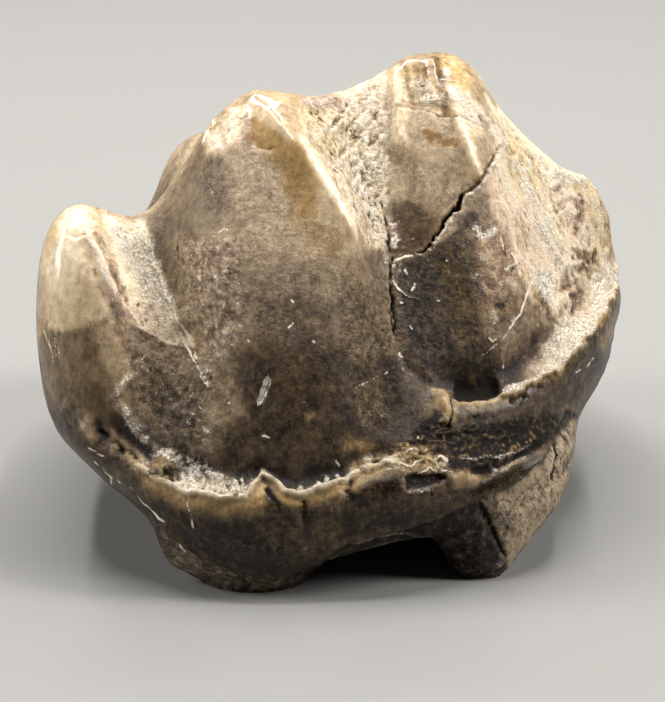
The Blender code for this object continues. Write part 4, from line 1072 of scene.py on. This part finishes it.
tooth["tone"][index] -= share * smooth_step(cords, 0.55, 1.0) * (0.04 + 0.50 * bundles)
at_least("amber", index, share)
GOLDEN = ((350, 466), (372, 452), (400, 446), (436, 450), (452, 464), (430, 470), (388, 470), (356, 478))
tint(GOLDEN, 6, 8, tone=0.42, amber=0.8, dull=0.6, net=1.0)
crust(GOLDEN, 8, 0.5, 0.16, 0.24, 245)
GOLDEN_VEINS = (((402, 456), (414, 448), (424, 452), (436, 446)), ((398, 464), (412, 468), (424, 460)),
                ((430, 462), (442, 456), (450, 462)), ((408, 440), (420, 436)), ((440, 470), (452, 472)),
                ((386, 470), (396, 466), (404, 472)), ((418, 474), (430, 468), (444, 474)))
for number, line in enumerate(GOLDEN_VEINS):
    scratch(line, 1.2, 1.0, -0.08, 4.0, 400 + number)
STEP_SEAM = ((450, 460), (478, 458), (505, 455), (528, 447), (545, 436))
ridge(STEP_SEAM, 2.6, 0.14, 3.0, 0.8, seed=247, vein=0.5)
STEP_FURROW = ((462, 478), (480, 470), (505, 462), (528, 450), (548, 436))
ridge(STEP_FURROW, 4.0, -0.34, 2.0, seed=248, dark=0.85)
RECESS = ((405, 476), (416, 473), (428, 475), (440, 471), (447, 477), (438, 484), (424, 487), (408, 489))
index, share = within(RECESS, 3, 1.5, 0.6)
tooth["lift"][index] -= 0.42 * share
tint(RECESS, 2, 2, 0.8, pink=1.0, tone=0.86, dull=0.6)
lay("dark", index, 0.5 * share)
RECESS_LIP = ((405, 491), (414, 492), (424, 490), (434, 491))
ridge(RECESS_LIP, 1.6, 0.22, 2.5, 0.5, seed=249, chalk=0.5)
RECESS_CRACK = ((431, 487), (432, 496))
scratch(RECESS_CRACK, 1.6, 0.9, 0.1, 1.0, 250, "dark")
CLEAR_BUMP = ((448, 476), (460, 468), (474, 470), (484, 480), (470, 490), (450, 488))
tint(CLEAR_BUMP, 4, 2, tone=0.46, dull=0.1, amber=0.3)
BUMP_CREST = ((446, 482), (462, 475), (480, 481))
ridge(BUMP_CREST, 7.0, 0.40, 1.0)
STEP_KNOBS = ((500, 462, 5), (510, 458, 4.5), (492, 468, 4))
for x, y, r in STEP_KNOBS:
    ridge(((x - 2, y), (x + 3, y - 1)), r, 0.22, 2.0, 0.6, seed=x, run=0.01, chalk=0.55)
STEP_EDGE = ((478, 482), (494, 475), (512, 464), (530, 452))
ridge(STEP_EDGE, 2.6, 0.16, 2.0, 0.8, seed=251, chalk=0.55)

# The front part of the cheek rim: a wavy crest with a gritty chalk shelf behind it, notched in two
# places. Its edge is clear and glows amber above the dark enamel of the neck.
FRONT_CREST = ((128, 461), (142, 470), (156, 478), (168, 483), (186, 491), (204, 495), (224, 497),
               (245, 497), (254, 486), (263, 473), (274, 481), (286, 492), (304, 495), (316, 489),
               (332, 485), (346, 481), (356, 474), (372, 467), (386, 463), (402, 462))
finer(FRONT_CREST, 11, 0.16)
index, gap, share = near(FRONT_CREST, 40, 2.0, 0.8, 253)
waves = layered(tooth["place"][index], 0.9, 254)
ends = smooth_step(share, 0, 0.08) * smooth_step(1 - share, 0, 0.05)
press(index, np.exp(-((gap / 3.0) ** 2)) * ends * (0.40 + 0.16 * waves))
shelf = smooth_step(-gap, 1, 5) * smooth_step(24 + gap, 0, 16) * ends
press(index, shelf * (-0.26 + 0.20 * waves))
wide = np.interp(share, (0.0, 0.15, 0.4, 0.48, 0.56, 0.68, 0.8, 1.0), (14, 26, 22, 8, 7, 10, 9, 14))
crusty = smooth_step(-gap, -1.5, 1) * smooth_step(wide + gap, 0, 10) * ends
lay("chalk", index, crusty * (0.66 + 0.7 * waves))
lay("dark", index, 0.7 * crusty * np.clip(-3 * waves - 0.8, 0, 1))
lay("pitted", index, crusty)
at_least("dull", index, 0.8 * crusty)
pale_edge = np.exp(-((gap / 3.2) ** 2)) * ends
blend("tone", index, 0.02, pale_edge)
lay("chalk", index, 0.55 * np.exp(-(((gap + 1.5) / 2.0) ** 2)) * ends)
tooth["lift"][index] += 0.09 * np.clip(layered(tooth["place"][index], 0.35, 256, 2), 0, 1) * crusty
glow = np.interp(share, (0, 0.1, 0.42, 0.5, 0.56, 0.62, 0.84, 1.0), (6, 24, 32, 18, 12, 24, 20, 8))
face = smooth_step(gap, 1, 5) * smooth_step(glow - gap, 0, 14) * ends
blend("tone", index, 0.18 + 0.022 * np.clip(gap, 0, 26), face * 0.95)
at_least("amber", index, 0.85 * face)
blend("tone", index, 0.30, crusty)
SHELF_CRUST = ((150, 446), (178, 452), (212, 468), (234, 482), (228, 494), (186, 488), (160, 476))
crust(SHELF_CRUST, 10, 0.6, 0.14, 0.62, 258)
AMBER_KNOB = ((148, 462), (162, 456), (178, 464), (170, 480), (152, 474))
AMBER_KNOB_CREST = ((150, 466), (162, 466), (172, 472))
ridge(AMBER_KNOB_CREST, 7.0, 0.34, 1.0, seed=260)
tint(AMBER_KNOB, 4, 4, amber=0.6, tone=0.50, dull=0.3, chalk=0.1, net=1.0)
AMBER_KNOB_PIT = ((163, 471), (172, 471))
ridge(AMBER_KNOB_PIT, 2.6, -0.34, 1.0, seed=261, run=0.02, dark=1.0)
SHELF_CRUMBS = ((235, 484), (243, 482), (250, 486), (318, 483), (326, 480), (338, 476), (300, 488),
                (214, 478), (198, 470), (206, 466), (182, 456), (190, 462), (172, 452))
for number, (x, y) in enumerate(SHELF_CRUMBS):
    ridge(((x - 2, y), (x + 2, y - 1)), 3.2, 0.20, 2.5, 0.5, seed=262 + number, run=0.01, chalk=0.9)
RIM_CRACK = ((188, 494), (187, 506), (191, 518), (194, 530))
scratch(RIM_CRACK, 1.3, 0.9, 0.05, 1.8, 310)
RIM_CRACK_BRANCH = ((179, 498), (187, 503))
scratch(RIM_CRACK_BRANCH, 1.1, 0.7, 0.03, 1.0, 311)
RIM_NOTCH = ((264, 486), (272, 496), (280, 506))
ridge(RIM_NOTCH, 2.6, -0.24, 1.2, seed=312, dark=0.95)
RIM_FRONT_DENT = ((303, 498), (305, 512), (306, 526))
ridge(RIM_FRONT_DENT, 4.0, -0.18, 1.5, seed=313, dark=0.6)
RIM_BACK_DENT = ((354, 478), (348, 490), (356, 502))
ridge(RIM_BACK_DENT, 4.0, -0.18, 1.5, seed=314, dark=0.6)
RIM_LOW_DENT = ((345, 486), (352, 500), (372, 506))
ridge(RIM_LOW_DENT, 5.0, -0.14, 2.0, seed=316, dark=0.5)

# The sides that the photograph does not show carry the same wear, read from the side that it does:
# worn tips with a pale rim, old cracks, chips, stains and the growth lines of the enamel.
def worn_tip(corners, seed):
    """A tip worn down to a brown floor inside a pale rim."""
    tint(corners, 3, 5, 0.8, seed, tone=0.60, amber=0.9, dull=0.6, net=1.0)
    index, share = within(corners, 6, 2, 0.8, seed)
    tooth["lift"][index] -= 0.22 * share
    rim, gap, _ = near(corners + corners[:1], 8, 2, 0.8, seed)
    pale = np.exp(-(((gap + 1) / 4) ** 2))
    blend("tone", rim, 0.22, pale)
    press(rim, 0.08 * pale)


def old_chip(corners, seed):
    """A shallow chip with a rough and dull floor."""
    tint(corners, 2, 4, 0.9, seed, tone=0.50, dull=0.8, net=1.0, pink=0.4)
    crust(corners, 5, 0.8, 0.10, 0.10, seed)
    index, share = within(corners, 5, 3, 0.9, seed)
    tooth["lift"][index] -= 0.20 * share


TONGUE_CUSP_PLACE = (-12.2, 12.6, 23.0)
TONGUE_CUSP_SIZE = 3.2
swell = (tooth["place"] - TONGUE_CUSP_PLACE) / TONGUE_CUSP_SIZE
tooth["lift"] += 0.75 * np.exp(-(swell**2).sum(axis=1))
look(180)
BACK_TONGUE_TIP = ((196, 268), (212, 262), (226, 274), (222, 292), (204, 296), (192, 284))
worn_tip(BACK_TONGUE_TIP, 501)
FRONT_TONGUE_TIP = ((456, 254), (470, 249), (484, 258), (480, 274), (464, 278), (453, 266))
worn_tip(FRONT_TONGUE_TIP, 502)
TONGUE_GROOVE_STAIN = ((286, 352), (350, 350), (352, 400), (330, 452), (306, 436), (284, 400))
tint(TONGUE_GROOVE_STAIN, 12, 12, tone=0.97, net=0.8)
# As on the cheek side, the neck is painted nearly black, stain and painted shade together.
TONGUE_NECK = ((70, 420), (200, 470), (340, 478), (470, 470), (600, 410), (580, 470), (480, 508),
               (200, 512), (100, 470))
tint(TONGUE_NECK, 12, 10, tone=0.99, net=0.6)
TONGUE_CRACKS = (((186, 300), (178, 340), (186, 380), (178, 424), (188, 478)),
                 ((470, 284), (480, 330), (472, 372), (484, 430)),
                 ((524, 300), (534, 350), (526, 402), (538, 450)),
                 ((120, 336), (112, 372), (122, 410), (114, 446)),
                 ((262, 90), (252, 132), (264, 180), (256, 226)),
                 ((404, 80), (410, 130), (398, 190), (406, 236)), ((472, 372), (500, 384), (522, 378)),
                 ((250, 360), (262, 400), (252, 440)))
for number, line in enumerate(TONGUE_CRACKS):
    scratch(line, 1.4, 0.9, 0.10, 4.0, 510 + number, "dark")
TONGUE_SCRATCHES = (((150, 350), (162, 362), (166, 380)), ((208, 392), (216, 384)),
                    ((430, 360), (440, 342), (452, 336)), ((560, 330), (570, 350)),
                    ((300, 110), (308, 124)), ((372, 420), (366, 436)), ((220, 430), (246, 436)))
for number, line in enumerate(TONGUE_SCRATCHES):
    scratch(line, 1.4, 0.9, 0.03, 3.0, 530 + number)
GROOVE_CHIP = ((330, 420), (352, 412), (374, 424), (380, 444), (360, 458), (336, 452), (322, 438))
old_chip(GROOVE_CHIP, 541)
BACK_CORNER_CHIP = ((96, 392), (112, 384), (124, 400), (116, 420), (98, 414))
old_chip(BACK_CORNER_CHIP, 542)
FRONT_TONGUE_CHIP = ((430, 466), (458, 458), (480, 468), (474, 486), (444, 490))
old_chip(FRONT_TONGUE_CHIP, 543)
BACK_TONGUE_RUST = ((130, 420), (170, 408), (204, 436), (184, 466), (140, 456))
tint(BACK_TONGUE_RUST, 8, 10, rust=0.6)
FRONT_TONGUE_RUST = ((540, 240), (580, 230), (598, 262), (570, 290), (544, 276))
tint(FRONT_TONGUE_RUST, 8, 8, rust=0.5, amber=0.6)
TONGUE_GROWTH_LINE = ((90, 392), (200, 440), (340, 446), (470, 436), (600, 380))
GROWTH_LINES = 6
GROWTH_STEP = 11
for step in range(GROWTH_LINES):
    line = [(x, y + GROWTH_STEP * step) for x, y in TONGUE_GROWTH_LINE]
    ridge(line, 4.0, 0.05 - 0.09 * (step % 2), 3.0, 3.0, 550 + step)

look(90)
WING_END = ((356, 100), (396, 116), (440, 216), (434, 330), (404, 396), (378, 384), (384, 250))
tint(WING_END, 14, 10, tone=0.40, dull=0.65, net=1.0, combed=0.7, pink=0.3, chalk=0.2)
BACK_END_CREST = ((360, 392), (392, 390), (430, 396), (470, 404), (500, 392))
ridge(BACK_END_CREST, 6.0, 0.24, 3.0, seed=560, chalk=0.5)
BACK_END_AMBER = ((384, 396), (440, 402), (500, 398), (500, 420), (440, 426), (384, 420))
tint(BACK_END_AMBER, 8, 6, amber=0.8, tone=0.58)
# As on the cheek side, the neck is painted nearly black, stain and painted shade together.
BACK_END_NECK = ((240, 430), (400, 440), (560, 430), (610, 400), (590, 470), (460, 492), (280, 484))
tint(BACK_END_NECK, 14, 10, tone=0.98)
BACK_END_CRACKS = (((404, 140), (412, 190), (402, 240), (410, 300), (400, 350)),
                   ((560, 270), (572, 320), (562, 370), (574, 420)), ((520, 180), (512, 214), (520, 236)),
                   ((340, 420), (332, 450), (342, 474)))
for number, line in enumerate(BACK_END_CRACKS):
    scratch(line, 1.4, 0.9, 0.10, 4.0, 570 + number, "dark")
BACK_END_CHIP = ((498, 420), (520, 410), (540, 424), (532, 446), (506, 444))
old_chip(BACK_END_CHIP, 578)
BACK_END_RUST = ((440, 260), (480, 300), (500, 350), (470, 380), (440, 350))
tint(BACK_END_RUST, 12, 10, rust=0.5)

look(-90)
# As on the cheek side, the neck is painted nearly black, stain and painted shade together.
FRONT_END_NECK = ((70, 420), (180, 452), (330, 462), (440, 470), (540, 450), (540, 496), (400, 502),
                  (180, 490), (90, 470))
tint(FRONT_END_NECK, 14, 10, tone=0.98, net=0.6)
FRONT_END_CREST = ((160, 384), (230, 374), (300, 378), (350, 384), (400, 410))
ridge(FRONT_END_CREST, 8.0, 0.10, 4.0, seed=580)
FRONT_END_CRUST = ((176, 372), (240, 362), (320, 368), (352, 374), (330, 384), (240, 378))
crust(FRONT_END_CRUST, 8, 0.8, 0.10, 0.30, 581)
FRONT_END_CRACKS = (((486, 252), (478, 300), (488, 350), (480, 404), (490, 450)),
                    ((110, 300), (102, 350), (112, 400), (104, 440)), ((150, 200), (142, 236), (152, 270)),
                    ((400, 130), (390, 180), (398, 226)), ((260, 400), (268, 440), (258, 480)))
for number, line in enumerate(FRONT_END_CRACKS):
    scratch(line, 1.4, 0.9, 0.10, 4.0, 590 + number, "dark")
FRONT_END_SCRATCHES = (((210, 404), (240, 412), (252, 408)), ((420, 330), (432, 344)),
                       ((90, 340), (98, 356)))
for number, line in enumerate(FRONT_END_SCRATCHES):
    scratch(line, 1.4, 0.9, 0.03, 3.0, 600 + number)
FRONT_END_CHIP = ((300, 424), (326, 416), (346, 430), (336, 452), (308, 448))
old_chip(FRONT_END_CHIP, 606)
FRONT_END_RUST = ((190, 400), (250, 396), (260, 430), (200, 440))
tint(FRONT_END_RUST, 10, 10, rust=0.5)
look()

# Dirt and painted light. Every hollow of the finished relief is painted darker, partly dirt and partly
# painted shade, and the small crests beside them are painted paler as painted light.
HOLLOW_SHADE_REACH = 3
hollow = hollows(tooth["place"] + tooth["normal"] * tooth["lift"][:, None], HOLLOW_SHADE_REACH)
tooth["tone"] += np.clip(3.0 * hollow, -0.12, 0.30) * (0.3 + tooth["dull"])
tooth["dark"] = np.maximum(tooth["dark"], smooth_step(hollow, 0.07, 0.20) * 0.6)


# The finish. The tone picks a colour between cream and nearly black, the stain together with painted
# shade and painted highlights, and the other paints are masks for amber, pink, rust, root, chalk, veins,
# and dirt with painted shade, and for how dull and gritty the skin is. The lowest points, within the
# foot band, are set down on the floor.
FOOT_BAND = 0.25
# These ramps turn the tone into colour, so they show the painted shade and highlights as well as the stain.
STAIN_AND_SHADE_COLOURS = ((0.0, (234, 216, 187)), (0.25, (182, 160, 128)), (0.5, (134, 115, 90)), (0.75, (83, 67, 49)),
          (1.0, (26, 18, 11)))
AMBER_STAIN_AND_SHADE_COLOURS = ((0.0, (222, 200, 150)), (0.4, (152, 122, 78)), (0.7, (90, 72, 45)), (1.0, (26, 19, 12)))
PINK_STAIN_AND_SHADE_COLOURS = ((0.0, (238, 206, 178)), (0.5, (136, 108, 92)), (1.0, (38, 28, 26)))
ROOT_STAIN_AND_SHADE_COLOURS = ((0.2, (188, 166, 136)), (0.5, (130, 115, 94)), (0.8, (62, 54, 45)), (1.0, (24, 20, 16)))
CHALK_GRAINS = ((0.22, (106, 88, 68)), (0.38, (178, 160, 135)), (0.54, (222, 208, 186)),
                (0.7, (253, 247, 235)))
RUST_BROWN = (118, 78, 38)
VEIN_CREAM = (238, 226, 205)
DIRT_AND_SHADE_BROWN = (26, 19, 13)
COMBED_LEAN = math.radians(-25)
FIBRE_LEAN = math.radians(35)
GRAIN_DEPTH = 0.00025
CLEARNESS = 1.33


def close_skin(name):
    """The finished skin as a mesh object, its relief raised and its paints as attributes."""
    places = tooth["place"] + tooth["normal"] * tooth["lift"][:, None]
    places[:, 2] = np.where(places[:, 2] < FOOT_BAND, 0.0, places[:, 2])
    mesh = bpy.data.meshes.new(name)
    mesh.from_pydata((places / 1000).tolist(), [], tooth.faces.tolist())
    for paint, values in tooth.data.items():
        if values.ndim == 1 and paint not in ("lift", "shown"):
            layer = mesh.attributes.new(paint, "FLOAT", "POINT")
            layer.data.foreach_set("value", values.astype(np.float32))
    mesh.shade_smooth()
    skin = bpy.data.objects.new(name, mesh)
    bpy.context.scene.collection.objects.link(skin)
    return skin


def shade(red, green, blue):
    """A colour as it is seen on a screen, 0 to 255, as the shader wants it."""
    seen = (channel / 255 for channel in (red, green, blue))
    return (*(c / 12.92 if c <= 0.04045 else ((c + 0.055) / 1.055) ** 2.4 for c in seen), 1.0)


class Wiring:
    """Short ways to add and join the nodes of one material or group."""

    def __init__(self, tree):
        self.tree = tree

    def join(self, value, socket):
        if isinstance(value, bpy.types.NodeSocket):
            self.tree.links.new(value, socket)
        elif value is not None:
            socket.default_value = value

    def add(self, kind, sockets=(), **settings):
        node = self.tree.nodes.new("ShaderNode" + kind)
        for name, value in settings.items():
            setattr(node, name, value)
        for socket, value in dict(sockets).items():
            self.join(value, node.inputs[socket])
        return node

    def math(self, operation, first, second=None, third=None):
        sockets = {0: first, 1: second, 2: third}
        return self.add("Math", sockets, operation=operation).outputs[0]

    def paint(self, name):
        return self.add("Attribute", attribute_name=name).outputs["Fac"]

    def mix(self, share, under, over):
        node = self.add("Mix", {0: share, 6: under, 7: over}, data_type="RGBA")
        return node.outputs[2]

    def noise(self, places, scale, detail=3.0, rough=0.55, warp=0.0):
        sockets = {"Vector": places, "Scale": scale, "Detail": detail, "Roughness": rough}
        node = self.add("TexNoise", sockets | {"Distortion": warp})
        return self.add("MapRange", {0: node.outputs["Fac"], 1: 0.3, 2: 0.7}).outputs[0]

    def ramp(self, value, stops):
        node = self.add("ValToRGB", {"Fac": value})
        ramp = node.color_ramp
        for number, (place, colour) in enumerate(stops):
            stop = ramp.elements[number] if number < 2 else ramp.elements.new(place)
            stop.position = place
            stop.color = shade(*colour)
        return node.outputs["Color"]

    def curve(self, value, low, high, out_low=0.0, out_high=1.0):
        sockets = {0: value, 1: low, 2: high, 3: out_low, 4: out_high}
        return self.add("MapRange", sockets, interpolation_type="SMOOTHSTEP").outputs[0]


def ragged_group():
    """A mask with a torn edge, made from a soft paint and a noise."""
    group = bpy.data.node_groups.new("ragged edge", "ShaderNodeTree")
    for name in ("Paint", "Noise", "Tear"):
        group.interface.new_socket(name, in_out="INPUT", socket_type="NodeSocketFloat")
    group.interface.new_socket("Mask", in_out="OUTPUT", socket_type="NodeSocketFloat")
    wire = Wiring(group)
    given = group.nodes.new("NodeGroupInput").outputs
    swing = wire.math("MULTIPLY", wire.math("SUBTRACT", given["Noise"], 0.5), given["Tear"])
    mask = wire.curve(wire.math("ADD", given["Paint"], swing), 0.34, 0.62)
    wire.join(mask, group.nodes.new("NodeGroupOutput").inputs["Mask"])
    return group


enamel = bpy.data.materials.new("fossil enamel")
enamel.use_nodes = True
wire = Wiring(enamel.node_tree)
shader = enamel.node_tree.nodes["Principled BSDF"]
ragged = ragged_group()


def torn(paint, noise, tear):
    """A paint's mask with a torn edge."""
    sockets = {"Paint": paint, "Noise": noise, "Tear": tear}
    return wire.add("Group", sockets, node_tree=ragged).outputs["Mask"]


metres = wire.add("TexCoord").outputs["Object"]
spot = wire.add("VectorMath", {0: metres, "Scale": 1000.0}, operation="SCALE").outputs[0]
upright = wire.add("VectorMath", {0: spot, 1: (1.0, 1.0, 0.28)}, operation="MULTIPLY").outputs[0]
cloud = wire.noise(spot, 0.5, 6.0, 0.62)
mottle = wire.noise(spot, 1.9, 6.0, 0.7)
grainy = wire.noise(spot, 4.0, 4.0, 0.65)
dust = wire.noise(spot, 9.0, 3.0, 0.7)
streak = wire.noise(upright, 2.2, 5.0, 0.65, 0.4)
slanted = []
for lean in (COMBED_LEAN, FIBRE_LEAN):
    turned = wire.add("VectorRotate", {0: spot, "Angle": lean}, rotation_type="Y_AXIS").outputs[0]
    drawn = wire.add("VectorMath", {0: turned, 1: (1.0, 1.0, 0.12)}, operation="MULTIPLY").outputs[0]
    slanted.append(wire.noise(drawn, 3.0, 5.0, 0.7, 0.3))
speckle = wire.math("MULTIPLY_ADD", grainy, 0.5, wire.math("MULTIPLY", dust, 0.5))
tone = wire.paint("tone")
net_swing = wire.math("MULTIPLY_ADD", wire.paint("net"), 0.40, 0.12)
grit_swing = wire.math("MULTIPLY_ADD", wire.paint("dull"), 0.38, 0.08)
combed = wire.math("MULTIPLY", wire.paint("combed"), 0.55)
fibre = wire.math("MULTIPLY", wire.paint("fibre"), 0.55)
for swing, noise in ((0.18, cloud), (0.16, streak), (net_swing, mottle), (grit_swing, speckle),
                     (combed, slanted[0]), (fibre, slanted[1])):
    tone = wire.math("MULTIPLY_ADD", wire.math("SUBTRACT", noise, 0.5), swing, tone)

colour = wire.ramp(tone, STAIN_AND_SHADE_COLOURS)
colour = wire.mix(wire.paint("amber"), colour, wire.ramp(tone, AMBER_STAIN_AND_SHADE_COLOURS))
pink = wire.math("MULTIPLY", wire.paint("pink"), wire.curve(mottle, 0.1, 0.8))
colour = wire.mix(pink, colour, wire.ramp(tone, PINK_STAIN_AND_SHADE_COLOURS))
rust = torn(wire.paint("rust"), mottle, 1.1)
colour = wire.mix(wire.math("MULTIPLY", rust, 0.6), colour, shade(*RUST_BROWN))
root = wire.paint("root")
colour = wire.mix(root, colour, wire.ramp(tone, ROOT_STAIN_AND_SHADE_COLOURS))
dusted = wire.math("MULTIPLY_ADD", wire.math("SUBTRACT", speckle, 0.5), 0.9, wire.paint("chalk"))
chalk = wire.curve(dusted, 0.2, 0.85)
colour = wire.mix(wire.math("MULTIPLY", chalk, 0.92), colour, wire.ramp(speckle, CHALK_GRAINS))
vein = torn(wire.paint("vein"), speckle, 0.7)
colour = wire.mix(wire.math("MULTIPLY", vein, 0.85), colour, shade(*VEIN_CREAM))
# The dark paint is dirt and painted shade together.
dark = torn(wire.paint("dark"), speckle, 0.8)
colour = wire.mix(wire.math("MULTIPLY", dark, 0.9), colour, shade(*DIRT_AND_SHADE_BROWN))
wire.join(colour, shader.inputs["Base Color"])

dull = wire.math("MAXIMUM", wire.paint("dull"), wire.math("MAXIMUM", chalk, dark))
rough = wire.math("MULTIPLY_ADD", wire.math("SUBTRACT", cloud, 0.5), wire.math("MULTIPLY", dull, 0.4), dull)
dull_grain = wire.math("MULTIPLY", dull, 0.4)
rough = wire.math("MULTIPLY_ADD", wire.math("SUBTRACT", speckle, 0.5), dull_grain, rough)
wire.join(wire.curve(rough, 0.0, 1.0, 0.08, 0.8), shader.inputs["Roughness"])

pitted = wire.math("MAXIMUM", wire.paint("pitted"), wire.math("MULTIPLY", root, 0.7))
fine = wire.math("MULTIPLY", dust, wire.math("MULTIPLY_ADD", pitted, 0.5, wire.math("MULTIPLY", dull, 0.15)))
coarse_share = wire.math("MULTIPLY_ADD", pitted, 0.7, wire.math("MULTIPLY", dull, 0.3))
coarse = wire.math("MULTIPLY", grainy, coarse_share)
broad = wire.math("MULTIPLY", mottle, wire.math("MULTIPLY_ADD", dull, 0.8, 0.01))
heights = wire.math("ADD", broad, wire.math("ADD", fine, coarse))
bump = wire.add("Bump", {"Height": heights, "Strength": 0.7, "Distance": GRAIN_DEPTH})
wire.join(bump.outputs[0], shader.inputs["Normal"])
shader.inputs["IOR"].default_value = CLEARNESS

molar = close_skin("molar_skin")
molar.data.materials.append(enamel)
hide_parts("molar")
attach(molar, "root")

# The stage. A plain pale floor, a long ring of four lamps over and behind the tooth, a tall soft
# window on the left and a narrower one on the right.
FLOOR_REACH = 3.0
PAPER_GREY = (132, 130, 126)
AIR_GREY = (190, 184, 174)
AIR_STRENGTH = 0.06
LAMP_AIM = (0.0, 0.0, 0.015)
RING_LEFT, RING_RIGHT, RING_FRONT, RING_BACK = -0.095, 0.065, -0.03, 0.22
RING_RISE = 0.27
RING_WIDTH = 0.014
RING_POWER = 178.0
LEFT_WINDOW = ((-0.36, -0.02, 0.17), 0.10, 0.30, 1.3)
RIGHT_WINDOW = ((0.34, -0.06, 0.30), 0.09, 0.26, 2.0)

bpy.ops.mesh.primitive_plane_add(size=FLOOR_REACH)
floor = bpy.context.object
floor.name = "floor"
paper = bpy.data.materials.new("pale paper")
paper.use_nodes = True
paper_shader = paper.node_tree.nodes["Principled BSDF"]
paper_shader.inputs["Base Color"].default_value = shade(*PAPER_GREY)
paper_shader.inputs["Roughness"].default_value = 0.9
floor.data.materials.append(paper)


def soft_lamp(name, place, aim, wide, high, power):
    """A rectangular lamp turned towards its aim, in metres and watts."""
    light = bpy.data.lights.new(name, "AREA")
    light.shape = "RECTANGLE"
    light.size = wide
    light.size_y = high
    light.energy = power
    lamp = bpy.data.objects.new(name, light)
    lamp.location = place
    lamp.rotation_euler = (Vector(place) - Vector(aim)).to_track_quat("Z", "Y").to_euler()
    bpy.context.scene.collection.objects.link(lamp)


middle_x, middle_y = (RING_LEFT + RING_RIGHT) / 2, (RING_FRONT + RING_BACK) / 2
for name, x, y, wide, high in (
    ("ring front", middle_x, RING_FRONT, RING_RIGHT - RING_LEFT, RING_WIDTH),
    ("ring back", middle_x, RING_BACK, RING_RIGHT - RING_LEFT, RING_WIDTH),
    ("ring left", RING_LEFT, middle_y, RING_WIDTH, RING_BACK - RING_FRONT),
    ("ring right", RING_RIGHT, middle_y, RING_WIDTH, RING_BACK - RING_FRONT),
):
    soft_lamp(name, (x, y, RING_RISE), (x, y, 0.0), wide, high, RING_POWER * wide * high)
for name, (place, wide, high, power) in (("left window", LEFT_WINDOW), ("right window", RIGHT_WINDOW)):
    soft_lamp(name, place, LAMP_AIM, wide, high, power)

world = bpy.data.worlds.new("studio air")
world.use_nodes = True
air = world.node_tree.nodes["Background"]
air.inputs["Color"].default_value = shade(*AIR_GREY)
air.inputs["Strength"].default_value = AIR_STRENGTH
bpy.context.scene.world = world
bpy.context.scene.view_settings.view_transform = "Standard"
